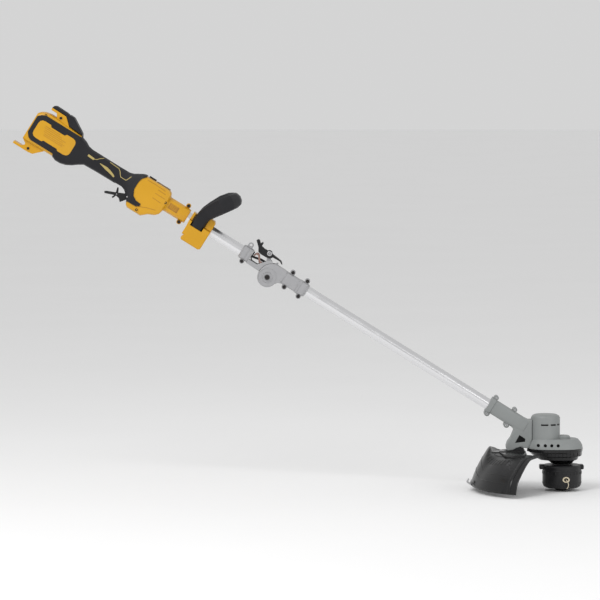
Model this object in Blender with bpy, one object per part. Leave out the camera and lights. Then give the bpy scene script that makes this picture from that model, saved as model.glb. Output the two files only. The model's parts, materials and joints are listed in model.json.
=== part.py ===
"""Folding cordless string trimmer, modelled in the pose it is used in.

The script draws in millimetres and builds the objects in metres. The origin is the point
where the bump knob meets the ground, on the spool's axis; +Z is up along that axis, and the
shaft runs down towards +X. Shaft pieces are drawn in the shaft's own frame, whose X axis
runs along the shaft towards the head and whose Z axis stands square to it, upwards.
"""
import math

import bmesh
import bpy
from mathutils import Matrix, Vector

MM = 0.001                       # one millimetre in metres

# ---- fits -------------------------------------------------------------------------------
GAP = 0.3                        # between two pieces that rest on each other
BORE_EXTRA = 0.5                 # a faceted bore over the round piece in it
SLIDE = 0.6                      # between pieces that turn or slide past each other

# ---- shaft and fold ---------------------------------------------------------------------
SHAFT_TILT = 32.0                # shaft below the horizontal, degrees
TUBE_R = 14.0
TUBE_WALL = 1.5
UPPER_TUBE_START, UPPER_TUBE_END = -305.0, -64.0
LOWER_TUBE_START, LOWER_TUBE_END = 31.0, 705.0
TUBE_END_X, TUBE_END_Z = -127.8261, 179.5069  # where the head holds the lower tube's end
SHAFT_X = TUBE_END_X - LOWER_TUBE_END * math.cos(math.radians(SHAFT_TILT))
SHAFT_Z = TUBE_END_Z + LOWER_TUBE_END * math.sin(math.radians(SHAFT_TILT))
FOLD_X, FOLD_Z = -2.0, -22.0     # fold axis, in the shaft's frame
CASTING_WALL = 2.5
CASTING_HALF_WIDTH = TUBE_R + CASTING_WALL
SLEEVE_HIGH, SLEEVE_LOW = TUBE_R + 3.5, TUBE_R + 4.5  # over and under the tube
KNUCKLE_HALF_WIDTH = 8.0
KNUCKLE_R = 22.0
CHEEK_R = 25.0
HINGE_BOLT_R = 4.0
SCREW_R = 2.0
SCREW_HEAD_R = 4.6

# ---- rear housing -----------------------------------------------------------------------
HOUSING_WALL = 2.5
OVERMOULD = 2.0                  # overmould outside the yellow shell
RECEIVER_X = -701.0              # face that the battery slides against
ARM_HALF_WIDTH = 28.0
HOOK_HALF_WIDTH = 26.0
NECK_START, NECK_END = -309.0, -250.0

# ---- trigger ----------------------------------------------------------------------------
TRIGGER_X, TRIGGER_Z = -404.0, -36.0
TRIGGER_HALF_WIDTH = 7.0
LOCK_X, LOCK_Z = -430.0, -45.0
PIN_R = 2.0

# ---- front handle -----------------------------------------------------------------------
BRACKET_HALF_WIDTH = 40.0
HANDLE_HALF_SPAN = 74.0

# ---- latch ------------------------------------------------------------------------------
LATCH_X, LATCH_Z = -28.0, 31.0
LATCH_HALF_WIDTH = 12.0
EAR_IN, EAR_OUT = 5.0, 7.8
LATCH_PIN_R = 2.5

# ---- head, in world axes ----------------------------------------------------------------
MOTOR_X = -42.0                  # motor axis behind the spool's axis
MOTOR_CAP_R = 36.5
MOTOR_CAP_TOP = 191.0
HEAD_WALL = 2.8
BASE_Z, BASE_TOP = 106.0, 130.0
BASE_FRONT, BASE_REAR = 52.0, -88.0
BASE_HALF_WIDTH = 50.0
GEAR_MODULE = 1.4
GEAR_TEETH, PINION_TEETH = 48, 12
GEAR_Z0, GEAR_Z1 = 92.0, 101.0
BACKLASH = 0.4
SPINDLE_R = 5.0
SPOOL_HEAD_R = 49.0
SPOOL_HEAD_WALL = 3.0
CUP_BOTTOM, CUP_TOP, HUB_TOP = 7.0, 52.0, 65.0
KNOB_R = 18.0
EYELET_Z = 31.0
LINE_R = 1.0

# ---- guard ------------------------------------------------------------------------------
GUARD_WALL = 3.0
GUARD_PLATE_Z = 99.7
GUARD_PLATE_THICK = 7.0
GUARD_PLATE_HALF_WIDTH = 22.0

FINISHES = {
    "yellow": ((0.84, 0.42, 0.022, 1), 0.42, 0.0),
    "black": ((0.018, 0.018, 0.021, 1), 0.55, 0.0),
    "cast": ((0.42, 0.42, 0.43, 1), 0.42, 0.6),
    "alu": ((0.78, 0.78, 0.79, 1), 0.25, 1.0),
    "grey": ((0.27, 0.285, 0.283, 1), 0.5, 0.0),
    "steel": ((0.5, 0.5, 0.5, 1), 0.35, 1.0),
    "copper": ((0.6, 0.3, 0.15, 1), 0.35, 1.0),
    "cable": ((0.24, 0.16, 0.15, 1), 0.6, 0.0),
    "cream": ((0.55, 0.48, 0.36, 1), 0.5, 0.0),
}


# ---- mesh tools: each returns a bmesh drawn in millimetres --------------------------------
def from_rings(rings, closed=False):
    """A solid skinned over rings of equal length; closed joins the last ring to the first."""
    bm = bmesh.new()
    loops = [[bm.verts.new(p) for p in ring] for ring in rings]
    pairs = list(zip(loops, loops[1:]))
    if closed:
        pairs.append((loops[-1], loops[0]))
    count = len(rings[0])
    for a, b in pairs:
        for i in range(count):
            j = (i + 1) % count
            bm.faces.new((a[i], a[j], b[j], b[i]))
    if not closed:
        bm.faces.new(loops[0][::-1])
        bm.faces.new(loops[-1])
    bmesh.ops.recalc_face_normals(bm, faces=bm.faces)
    return bm


def prism(outline, y0, y1, chamfer=0.0):
    """An (x, z) outline extruded along Y, with its two rims chamfered."""
    rings = [[(x, y, z) for x, z in outline] for y in (y0, y1)]
    bm = from_rings(rings)
    if chamfer:
        rims = [e for e in bm.edges if abs(e.verts[0].co.y - e.verts[1].co.y) < 1e-6]
        bmesh.ops.bevel(bm, geom=rims, offset=chamfer, segments=1, affect="EDGES",
                        clamp_overlap=True)
    return bm


def box(x0, x1, y0, y1, z0, z1, chamfer=0.0):
    bm = from_rings([[(x, y0, z0), (x, y1, z0), (x, y1, z1), (x, y0, z1)] for x in (x0, x1)])
    if chamfer:
        bmesh.ops.bevel(bm, geom=bm.edges[:], offset=chamfer, segments=1, affect="EDGES",
                        clamp_overlap=True)
    return bm


def turned(profile, sides=24, x=0.0, y=0.0, z=0.0, axis="Z"):
    """A closed (r, h) profile turned about an axis through (x, y, z); r = 0 is left out."""
    ring_count = sides
    solid = any(r == 0 for r, _ in profile)
    profile = [(r, h) for r, h in profile if r > 0]
    bm = bmesh.new()
    rings = []
    for i in range(ring_count):
        t = 2 * math.pi * i / ring_count
        rings.append([bm.verts.new((r * math.cos(t), r * math.sin(t), h)) for r, h in profile])
    count = len(profile)
    last = count - 1 if solid else count
    for i in range(ring_count):
        a, b = rings[i], rings[(i + 1) % ring_count]
        for k in range(last):
            m = (k + 1) % count
            bm.faces.new((a[k], b[k], b[m], a[m]))
    if solid:
        bm.faces.new([ring[0] for ring in rings])
        bm.faces.new([ring[-1] for ring in rings])
    if axis == "Y":
        bm.transform(Matrix.Rotation(math.radians(-90), 4, "X"))
    if axis == "X":
        bm.transform(Matrix.Rotation(math.radians(90), 4, "Y"))
    bm.transform(Matrix.Translation((x, y, z)))
    bmesh.ops.recalc_face_normals(bm, faces=bm.faces)
    return bm


def rod(r, h0, h1, sides=16, x=0.0, y=0.0, z=0.0, axis="Y", chamfer=0.0):
    """A round bar from h0 to h1 along its axis, with both ends chamfered."""
    c = chamfer
    ends = [(r - c, h0), (r, h0 + c)] if c else [(r, h0)]
    tops = [(r, h1 - c), (r - c, h1)] if c else [(r, h1)]
    return turned([(0, h0)] + ends + tops + [(0, h1)], sides, x, y, z, axis)


def bush(r_in, r_out, h0, h1, sides=24, x=0.0, y=0.0, z=0.0, axis="Y"):
    """A plain ring."""
    return turned([(r_in, h0), (r_out, h0), (r_out, h1), (r_in, h1)], sides, x, y, z, axis)


def together(*shapes):
    """Several shapes in one bmesh, as separate bodies of a cutter."""
    bm = bmesh.new()
    for shape in shapes:
        mesh = bpy.data.meshes.new("scratch")
        shape.to_mesh(mesh)
        shape.free()
        bm.from_mesh(mesh)
        bpy.data.meshes.remove(mesh)
    return bm


def swept(points, r, sides=8):
    """A round bar along points, mitred at each of them."""
    pts = [Vector(p) for p in points]
    side = None
    rings = []
    for i, p in enumerate(pts):
        ahead = pts[min(i + 1, len(pts) - 1)] - pts[max(i - 1, 0)]
        ahead.normalize()
        if side is None:
            side = ahead.cross(Vector((0.13, 0.91, 0.21))).normalized()
        side = (side - ahead * side.dot(ahead)).normalized()
        up = ahead.cross(side)
        rings.append([p + r * (math.cos(t) * side + math.sin(t) * up)
                      for t in (2 * math.pi * k / sides for k in range(sides))])
    return from_rings(rings)


def smooth_route(points, step):
    """Points every `step` along a smooth curve through the route's own points."""
    pts = [Vector(p) for p in points]
    pts = [2 * pts[0] - pts[1]] + pts + [2 * pts[-1] - pts[-2]]
    out = []
    for a, b, c, d in zip(pts, pts[1:], pts[2:], pts[3:]):
        n = max(1, round((c - b).length / step))
        for k in range(n):
            t = k / n
            out.append(0.5 * ((2 * b) + (c - a) * t + (2 * a - 5 * b + 4 * c - d) * t ** 2
                              + (3 * b - a - 3 * c + d) * t ** 3))
    out.append(pts[-2])
    return out


def arc(cx, cz, r, deg0, deg1, steps):
    """Points on a circle from one angle to another, both ends included."""
    return [(cx + r * math.cos(math.radians(deg0 + (deg1 - deg0) * k / steps)),
             cz + r * math.sin(math.radians(deg0 + (deg1 - deg0) * k / steps)))
            for k in range(steps + 1)]


# ---- objects ------------------------------------------------------------------------------
def clear_scene():
    for ob in list(bpy.data.objects):
        bpy.data.objects.remove(ob, do_unlink=True)


def finish_of(name, key):
    colour, rough, metal = FINISHES[key]
    mat = bpy.data.materials.new(name)
    mat.use_nodes = True
    bsdf = mat.node_tree.nodes["Principled BSDF"]
    bsdf.inputs["Base Color"].default_value = colour
    bsdf.inputs["Roughness"].default_value = rough
    bsdf.inputs["Metallic"].default_value = metal
    mat.diffuse_color = colour
    return mat


def empty(name, parent, x=0.0, y=0.0, z=0.0, tilt=0.0):
    """A frame for other objects, in millimetres from its parent, turned about Y."""
    ob = bpy.data.objects.new(name, None)
    bpy.context.scene.collection.objects.link(ob)
    ob.parent = parent
    ob.location = (x * MM, y * MM, z * MM)
    ob.rotation_euler = (0, math.radians(tilt), 0)
    return ob


def add(name, bm, parent, finish, tool=False):
    """Puts a shape into the scene under a frame; a tool is only a cutter or an operand."""
    bmesh.ops.remove_doubles(bm, verts=bm.verts, dist=1e-4)
    bm.transform(Matrix.Scale(MM, 4))
    mesh = bpy.data.meshes.new(name)
    bm.to_mesh(mesh)
    bm.free()
    mesh.shade_smooth()
    mesh.set_sharp_from_angle(angle=math.radians(35))
    ob = bpy.data.objects.new(name, mesh)
    bpy.context.scene.collection.objects.link(ob)
    ob.parent = parent
    if tool:
        ob.hide_render = True
        ob.display_type = "WIRE"
    else:
        mesh.materials.append(finish_of(name, finish))
    return ob


def tool(name, bm, parent):
    return add(name, bm, parent, None, tool=True)


def boolean(ob, other, operation, solver="EXACT"):
    mod = ob.modifiers.new(operation.lower(), "BOOLEAN")
    mod.operation = operation
    mod.solver = solver
    mod.object = other


def fuse(ob, *others):
    for other in others:
        boolean(ob, other, "UNION")


def cut(ob, *others):
    for other in others:
        boolean(ob, other, "DIFFERENCE")


# ---- rear housing: stations along the shaft ------------------------------------------------
# x, lowest z, highest z, half width, corner radius of the yellow shell
HOUSING = [
    (-701.0, -49.0, 24.0, 33.0, 8.0), (-696.0, -50.5, 30.0, 37.0, 10.0),
    (-686.0, -50.0, 35.0, 38.0, 10.0), (-672.0, -49.5, 38.0, 38.0, 10.0),
    (-655.0, -49.0, 38.0, 38.0, 10.0), (-612.0, -48.5, 35.0, 36.0, 10.0),
    (-604.0, -52.0, 34.5, 34.5, 10.0), (-590.0, -52.0, 34.0, 31.0, 10.0),
    (-578.0, -49.0, 33.5, 28.0, 10.0), (-575.0, -48.0, 27.5, 27.0, 10.0),
    (-562.0, -41.0, 23.5, 23.0, 10.0), (-550.0, -32.0, 17.0, 19.0, 10.0),
    (-538.0, -24.5, 15.0, 16.0, 10.0), (-500.0, -23.0, 15.0, 15.5, 10.0),
    (-455.0, -22.5, 15.0, 15.5, 10.0), (-430.0, -21.5, 15.5, 16.0, 10.0),
    (-420.0, -24.0, 18.5, 18.0, 10.0), (-411.0, -31.5, 24.0, 21.5, 9.0),
    (-401.0, -43.5, 29.5, 26.0, 8.0), (-397.0, -54.0, 31.5, 27.5, 8.0),
    (-391.0, -59.0, 33.0, 28.0, 8.0), (-352.0, -59.0, 34.0, 28.0, 8.0),
    (-338.0, -46.5, 34.0, 28.0, 8.0), (-322.0, -39.0, 34.0, 27.0, 8.0),
    (-314.0, -31.0, 28.5, 25.0, 9.0), (-311.0, -20.0, 22.0, 20.5, 14.0),
    (NECK_START, -TUBE_R - 4.5, TUBE_R + 6.0, TUBE_R + 5.0, TUBE_R + 1.0),
    (-255.0, -TUBE_R - 4.5, TUBE_R + 6.0, TUBE_R + 5.0, TUBE_R + 1.0),
    (NECK_END, -TUBE_R - 3.5, TUBE_R + 4.5, TUBE_R + 3.5, TUBE_R + 1.0),
]
OVERMOULD_SPAN = (-698.0, -364.0)


def section(x, low, high, half, r, side, steps=2):
    """Half of a rounded rectangle, from the top of the split plane to its bottom."""
    y0 = side * GAP / 2
    r = min(r, half - 0.6, (high - low) / 2 - 0.4)
    top = [(x, side * (half - r + r * math.sin(t)), high - r + r * math.cos(t))
           for t in (math.pi / 2 * k / steps for k in range(steps + 1))]
    bottom = [(x, side * (half - r + r * math.cos(t)), low + r - r * math.sin(t))
              for t in (math.pi / 2 * k / steps for k in range(steps + 1))]
    return [(x, y0, high)] + top + bottom + [(x, y0, low)]


def grown(station, by):
    x, low, high, half, r = station
    return (x, low - by, high + by, half + by, max(r + by, 1.0))


def inner_station(station):
    """The hollow of the housing; in the neck it is the tube's bore."""
    if station[0] < NECK_START - 1:
        return grown(station, -HOUSING_WALL)
    bore = TUBE_R + BORE_EXTRA
    return (station[0], -bore, bore, bore, bore)


def whole_loft(stations):
    """A solid of rounded rectangles, on both sides of the split plane."""
    return from_rings([section(*s, -1)[1:-1] + section(*s, 1)[1:-1][::-1] for s in stations])


def half_shell(outer, inner, side):
    rings = []
    for a, b in zip(outer, inner):
        rings.append(section(*a, side) + section(*b, side)[::-1])
    return from_rings(rings)


RING_OUTLINE = [(-698, -28), (-690, -38), (-682, -42), (-617, -42), (-610, -60), (-570, -60),
                (-540, -40), (-400, -60), (-399, -45.5), (-372, -44.5), (-365, -38),
                (-366, -33), (-380, -32), (-392, -25), (-399, -10), (-399, 10), (-396, 22),
                (-388, 31), (-386, 50), (-577, 50), (-578, 30), (-680, 30), (-690, 25),
                (-698, 17)]
LABEL_OUTLINE = ([(-653, -27), (-657, -31)] + arc(-675, -19, 12, -90, -180, 3)
                 + arc(-675, 5, 12, 180, 90, 3) + [(-657, 17), (-653, 12), (-615, 12), (-611, 17)]
                 + arc(-593, 5, 12, 90, 0, 3) + arc(-593, -19, 12, 0, -90, 3)
                 + [(-611, -31), (-615, -27)])
ARM_OUTLINE = [(-655, 34), (-655, 38), (-661, 48), (-677, 48), (-678, 54), (-637, 53.5),
               (-617, 35), (-612, 30), (-655, 30)]
HOOK_OUTLINE = [(-697, -45), (-697, -52), (-690, -55.5), (-688, -60), (-694, -66), (-716, -66),
                (-716, -72), (-672, -72), (-660, -70), (-640, -50.5), (-640, -45)]
BUMPER_OUTLINE = [(-678, 54.4), (-676, 60), (-672, 62), (-638, 61.5), (-634, 60), (-628, 61.5),
                  (-618, 61), (-584, 40.5), (-579, 36.6), (-579, 34.6), (-612, 36.0),
                  (-616.6, 35.6), (-636.7, 54)]


def shrunk(outline, by):
    """An outline drawn in by a small even distance, wound either way."""
    n = len(outline)
    area = sum(outline[i][0] * outline[(i + 1) % n][1] - outline[(i + 1) % n][0] * outline[i][1]
               for i in range(n))
    sign = 1 if area > 0 else -1
    out = []
    for i in range(n):
        p, q, r = (Vector(outline[k % n]) for k in (i - 1, i, i + 1))
        a = (q - p).normalized()
        b = (r - q).normalized()
        na = Vector((-a.y, a.x)) * sign
        nb = Vector((-b.y, b.x)) * sign
        mid = (na + nb).normalized()
        out.append(tuple(q + mid * by / max(0.4, mid.dot(na))))
    return out


def build_housing(shaft):
    inner = [inner_station(s) for s in HOUSING]
    layer = [s for s in HOUSING if OVERMOULD_SPAN[0] - 5 <= s[0] <= OVERMOULD_SPAN[1] + 15]
    slot = tool("trigger_slot", box(-448, -398, -8.5, 8.5, -70, -14), shaft)
    arm_hole = together(rod(3.2, -60, 60, 12, -646, 0, 43), rod(3.2, -60, 60, 12, -676, 0, -64))
    holes = tool("receiver_screw_holes", arm_hole, shaft)
    pin_hole = tool("trigger_pin_hole", rod(PIN_R + GAP, -40, 40, 12, TRIGGER_X, 0, TRIGGER_Z),
                    shaft)
    neck_bore = tool("neck_bore", rod(TUBE_R + BORE_EXTRA, UPPER_TUBE_START - 2, NECK_END + 9, 24,
                                      axis="X"), shaft)
    for side, word in ((-1, "near"), (1, "far")):
        lo, hi = sorted((side * GAP / 2, side * ARM_HALF_WIDTH))
        arm = tool("arm_" + word, prism(ARM_OUTLINE, lo, hi), shaft)
        lo, hi = sorted((side * GAP / 2, side * HOOK_HALF_WIDTH))
        hook = tool("hook_" + word, prism(HOOK_OUTLINE, lo, hi), shaft)
        ob = add("rear_housing_" + word, half_shell(HOUSING, inner, side), shaft, "yellow")
        fuse(ob, arm, hook)
        cut(ob, holes, slot, pin_hole, neck_bore)
        lo, hi = sorted((side * GAP / 2, side * 60))
        region = tool("ring_region_" + word, prism(RING_OUTLINE, lo, hi), shaft)
        window = tool("label_window_" + word, prism(LABEL_OUTLINE, lo + side, hi + side), shaft)
        skin_out = [grown(s, OVERMOULD) for s in layer]
        skin_in = [grown(s, GAP) for s in layer]
        skin = add("grip_overmould_" + word, half_shell(skin_out, skin_in, side), shaft, "black")
        boolean(skin, region, "INTERSECT")
        cut(skin, window, slot, pin_hole)
        flat = [s for s in HOUSING if -700 < s[0] < -570]
        plate_region = tool("label_region_" + word,
                            prism(shrunk(LABEL_OUTLINE, GAP), *sorted((side * 15, side * 70))),
                            shaft)
        plate_out = [grown(s, OVERMOULD) for s in flat]
        plate_in = [grown(s, GAP) for s in flat]
        plate = add("label_plate_" + word, half_shell(plate_out, plate_in, side), shaft, "yellow")
        boolean(plate, plate_region, "INTERSECT")
    bumper = add("top_bumper", prism(BUMPER_OUTLINE, -ARM_HALF_WIDTH, ARM_HALF_WIDTH, 1.0),
                 shaft, "black")
    return bumper


def build_inside(shaft):
    """Battery block, contacts, control module and switch inside the rear housing."""
    block = add("battery_terminal_block",
                box(RECEIVER_X + 0.5, -672, -30, 30, -38, 18, 2.0), shaft, "black")
    slots = together(box(-712, -690, -21, -13, -20, 12), box(-712, -690, 13, 21, -20, 12))
    cut(block, tool("contact_slots", slots, shaft))
    for side, word in ((-1, "near"), (1, "far")):
        y = side * 17
        add("battery_contact_" + word, box(-700, -690 - GAP, y - 0.6, y + 0.6, -16, 8),
            shaft, "copper")
    add("control_module", box(-672 + GAP, -600, -31, 31, -42, -14, 2.0), shaft, "black")
    add("trigger_switch", box(-390, -352, -14, 14, -56.2, -8, 1.5), shaft, "black")


def build_trigger(frames):
    trigger, lock, shaft = frames["trigger"], frames["lock"], frames["shaft"]
    tx, tz, w = TRIGGER_X, TRIGGER_Z, TRIGGER_HALF_WIDTH
    lever = [(-457, -59), (-460, -55), (-456, -52), (-430, -41), (-413, -33), (-405, -30.5),
             (-399.5, -33), (-399.5, -39), (-403, -45), (-409, -53), (-413, -58), (-420, -51),
             (-430, -49)]
    ob = add("trigger", prism([(x - tx, z - tz) for x, z in lever], -w, w, 1.0), trigger, "black")
    bore = rod(PIN_R + GAP, -20, 20, 12)
    lx, lz = LOCK_X - tx, LOCK_Z - tz
    slot = box(lx - 6, lx + 6.5, -2.8, 2.8, lz - 12, lz + 12)
    cut(ob, tool("trigger_bores", bore, trigger), tool("lock_slot", slot, trigger),
        tool("lock_bore", rod(1.5 + GAP, -20, 20, 10, lx, 0, lz), trigger))
    add("trigger_pin", rod(PIN_R, -24.2, 24.2, 12, tx, 0, tz), shaft, "steel")
    prop = [(-3.5, 0), (-7.5, 15), (-4, 16), (1, 6), (3, 0), (1, -4), (-3, -14), (-7, -13),
            (-3.5, -4)]
    lever = add("lock_off_lever", prism(prop, -2.2, 2.2), lock, "black")
    cut(lever, tool("lock_lever_bore", rod(1.5 + GAP, -20, 20, 10), lock))
    add("lock_off_pin", rod(1.5, -w + 0.5, w - 0.5, 10, lx, 0, lz), trigger, "steel")
    slider = box(-383, -363, -9, 9, 34.3, 37.5, 0.8)
    add("speed_slider", slider, frames["slider"], "black")


def build_upper_tube(shaft):
    r, bore = TUBE_R, TUBE_R - TUBE_WALL
    tube = [(bore, UPPER_TUBE_START), (r, UPPER_TUBE_START), (r, UPPER_TUBE_END),
            (bore, UPPER_TUBE_END)]
    add("upper_tube", turned(tube, 24, axis="X"), shaft, "alu")
    route = [(-599.3, 0, -30), (-575, 0, -26), (-545, 0, -8), (-500, 0, -4), (-430, 0, 6),
             (-380, 0, 14), (-330, 0, 4), (-300, 0, 0), (-150, 0, 0), (-70, 0, 0), (-52, 0, 3),
             (-38, 0, 6.5), (-22, 0, 7), (-8, 0, 6)]
    add("upper_harness", swept(smooth_route(route, 30), 3.0, 6), shaft, "cable")


# half of the loop: y, x, z, half width across the loop's plane, half thickness in it
LOOP = [(31.0, -217.5, -11.5, 16.4, 8.6), (31.5, -217.5, 14.0, 16.4, 9.0),
        (40.0, -214.0, 32.0, 17.5, 9.5), (54.0, -206.0, 48.0, 19.0, 10.0),
        (HANDLE_HALF_SPAN, -192.0, 72.0, 20.5, 11.0), (67.0, -179.0, 90.0, 20.0, 12.0),
        (44.0, -171.0, 98.5, 18.5, 13.0), (0.0, -169.0, 100.5, 18.0, 13.5)]


def handle_loop(sides=10):
    """The loop handle: an oval bar that leans forward as it rises and closes over the shaft."""
    path = [(-y, x, z, w, t) for y, x, z, w, t in LOOP] + LOOP[-2::-1]
    rings = []
    for i, (y, x, z, w, t) in enumerate(path):
        a, b = path[max(i - 1, 0)], path[min(i + 1, len(path) - 1)]
        ahead = Vector((b[1] - a[1], b[0] - a[0], b[2] - a[2])).normalized()
        lean = Vector((0.0, 0.0, 1.0)) if z < 20 else Vector((0.6, 0.0, 0.8))
        across = Vector((0, 1, 0)).cross(lean)
        across = (across - ahead * across.dot(ahead)).normalized()
        out = across.cross(ahead)
        centre = Vector((x, y, z))
        rings.append([centre + w * math.cos(k) * across + t * math.sin(k) * out
                      for k in (2 * math.pi * n / sides for n in range(sides))])
    return from_rings(rings)


def build_front_handle(slide):
    """Bracket, clamp cap, loop and bolts that slide together along the upper tube."""
    w = BRACKET_HALF_WIDTH
    bore = tool("bracket_bore", rod(TUBE_R + BORE_EXTRA, -300, -100, 24, axis="X"), slide)
    outline = [(-241, -20), (-242, -1), (-181, -1), (-181, -50), (-186, -54), (-235, -54),
               (-238, -50), (-235, -40), (-241, -40)]
    bracket = add("handle_bracket", prism(outline, -w, w, 2.0), slide, "yellow")
    legs = together(box(-234.4, -200.6, -w - 5, -w + 18, -12, 12),
                    box(-234.4, -200.6, w - 18, w + 5, -12, 12))
    cut(bracket, bore, tool("leg_pockets", legs, slide))
    cap = add("handle_cap", prism([(-242, -1 + GAP), (-242, 20), (-199.5, 20), (-199.5, 25),
                                   (-197, 27), (-185, 27), (-181, 22), (-181, -1 + GAP)],
                                  -28.0, 28.0, 1.5), slide, "yellow")
    cap_cut = together(box(-236, -199.4, -60, -w + 18.4, -20, 60),
                       box(-236, -199.4, w - 18.4, 60, -20, 60))
    cut(cap, bore, tool("cap_clearance", cap_cut, slide))
    add("handle_grip", handle_loop(), slide, "black")
    for side, word in ((-1, "near"), (1, "far")):
        bolt = [(0, -44), (2.5, -44), (2.5, 24.6), (0, 24.6)]
        add("handle_bolt_" + word, turned(bolt, 12, -191, side * 19.5, 0), slide, "steel")
    drill = together(rod(2.5 + GAP, -44 - GAP, 24.6 + GAP, 12, -191, -19.5, 0, "Z"),
                     rod(2.5 + GAP, -44 - GAP, 24.6 + GAP, 12, -191, 19.5, 0, "Z"))
    holes = tool("handle_bolt_holes", drill, slide)
    cut(cap, holes)
    cut(bracket, holes)


# ---- fold hinge ---------------------------------------------------------------------------
def seam(extra, deg0, deg1, steps):
    """The curve between the two castings: it draws out from the fold axis as it rises."""
    out = []
    for k in range(steps + 1):
        deg = deg0 + (deg1 - deg0) * k / steps
        rise = max(0.0, (167 - deg) / 77)
        r = CHEEK_R + 0.5 + 13.5 * rise ** 1.5 + extra
        out.append((FOLD_X + r * math.cos(math.radians(deg)),
                    FOLD_Z + r * math.sin(math.radians(deg))))
    return out


def build_upper_casting(shaft):
    w, k = CASTING_HALF_WIDTH, KNUCKLE_HALF_WIDTH
    bore = TUBE_R + BORE_EXTRA
    low, high = -TUBE_R - 4.0, TUBE_R + 4.0
    stations = [(-92.0, low + 2, high - 2, TUBE_R + 1.8, 14.0), (-88.0, low, high, w, 10.0),
                (-64.0, low, high, w, 10.0)]
    screw_z = low - 3.5
    hollow = [(x, -bore, bore, bore, bore) for x, *_ in stations]
    frame = ([(-66, -19), (-62, -19)] + seam(SLIDE, 176, 100, 8)
             + [(-14, 19), (-18, 18.5), (-40, -8), (-64, -8), (-66, -10)])
    neck = [(-64, -19), (-20, -19), (-14, -8), (-34, -11), (-64, -12)]
    ear = ([(-24, 8), (-14, 14)] + arc(LATCH_X, LATCH_Z, 4.0, -20, 200, 6))
    lug = [(-84.9, 15)] + [(-85, 24)] + arc(-78, 24, 7, 150, 30, 4) + [(-71, 24), (-71.1, 15)]
    holes = tool("upper_casting_holes", together(
        rod(HINGE_BOLT_R + GAP, -30, 30, 16, FOLD_X, 0, FOLD_Z),
        rod(LATCH_PIN_R + GAP, -30, 30, 12, LATCH_X, 0, LATCH_Z),
        rod(3.5, -30, 30, 12, -78, 0, 24.5),
        rod(SCREW_R + GAP, -30, 30, 10, -77, 0, screw_z),
        rod(SCREW_HEAD_R + GAP, -30, -12.15, 12, -77, 0, screw_z),
        rod(bore, -110, UPPER_TUBE_END + 0.6, 24, axis="X")), shaft)
    for side, word in ((-1, "near"), (1, "far")):
        def both(y0, y1):
            return sorted((side * y0, side * y1))
        ob = add("upper_casting_" + word, half_shell(stations, hollow, side), shaft, "cast")
        parts = [
            prism(frame, *both(EAR_IN, w)),
            prism(neck, *both(GAP / 2, k)),
            turned([(0, 0), (KNUCKLE_R, 0), (KNUCKLE_R, k - GAP / 2), (0, k - GAP / 2)], 32,
                   FOLD_X, min(both(GAP / 2, k)), FOLD_Z, "Y"),
            prism(ear, *both(EAR_IN, EAR_OUT)),
            prism(lug, *both(GAP / 2, 3.0)),
            turned([(0, 0), (6.4, 0), (6.4, 12), (0, 12)], 16, -77,
                   min(both(GAP / 2, 12.0 + GAP / 2)), screw_z, "Y"),
        ]
        for n, shape in enumerate(parts):
            fuse(ob, tool(f"upper_casting_{word}_{n}", shape, shaft))
        cut(ob, holes)


def build_lower_casting(lower):
    w, k = CASTING_HALF_WIDTH, KNUCKLE_HALF_WIDTH + SLIDE
    bore = TUBE_R + BORE_EXTRA
    low, high, lip = -SLEEVE_LOW, SLEEVE_HIGH, TUBE_R + 1.6
    stations = [(29.0, low + 1, high - 1, w - 0.3, 8.0), (73.0, low + 1, high - 1, w - 0.3, 8.0),
                (74.0, low, high, w, 8.0), (94.0, low, high, w, 8.0),
                (101.0, -lip, lip, lip, lip - 1.1)]
    hollow = [(x, -bore, bore, bore, bore) for x, *_ in stations]
    cheek = (arc(FOLD_X, FOLD_Z, CHEEK_R, -12, -193, 14) + seam(0, 160, 90, 7)
             + [(0, 17), (30, 17), (34, 14), (34, -18), (28, -20)])
    roof = [(-2, 17), (0.5, 21.3), (4.0, 21.3), (6.5, 17), (32, 17), (32, 10.5), (-2, 10.5)]
    screws = [(47, high + 4.3), (89, high + 5.1), (47, low - 2), (89, low - 3)]
    holes = [rod(SCREW_R + GAP, -30, 30, 10, x, 0, z) for x, z in screws]
    holes += [rod(SCREW_HEAD_R + GAP, -30, -12.15, 12, x, 0, z) for x, z in screws]
    holes.append(rod(HINGE_BOLT_R + GAP, -30, 30, 16, FOLD_X, 0, FOLD_Z))
    holes.append(rod(bore, LOWER_TUBE_START - 0.6, 120, 24, axis="X"))
    drill = tool("lower_casting_holes", together(*holes), lower)
    for side, word in ((-1, "near"), (1, "far")):
        def both(y0, y1):
            return sorted((side * y0, side * y1))
        ob = add("lower_casting_" + word, half_shell(stations, hollow, side), lower, "cast")
        parts = [prism(cheek, *both(k, w), 0.8), prism(roof, *both(GAP / 2, k + 1))]
        for x, z in screws:
            parts.append(turned([(0, 0), (6.6, 0), (6.6, 12), (0, 12)], 14, x,
                                min(both(GAP / 2, 12.0 + GAP / 2)), z, "Y"))
        for n, shape in enumerate(parts):
            fuse(ob, tool(f"lower_casting_{word}_{n}", shape, lower))
        cut(ob, drill)
    for n, (x, z) in enumerate(screws, 1):
        add(f"lower_casting_screw_{n}", screw(x, z), lower, "black")


def screw(x, z, face=12.15):
    """A pan-head screw along Y through both halves, its head on the near side."""
    profile = [(0, -face - 3.6), (SCREW_HEAD_R - 1, -face - 3.6), (SCREW_HEAD_R, -face - 2.6),
               (SCREW_HEAD_R, -face - GAP), (SCREW_R, -face - GAP), (SCREW_R, face - 1),
               (0, face - 1)]
    return turned(profile, 12, x, 0, z, "Y")


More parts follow.
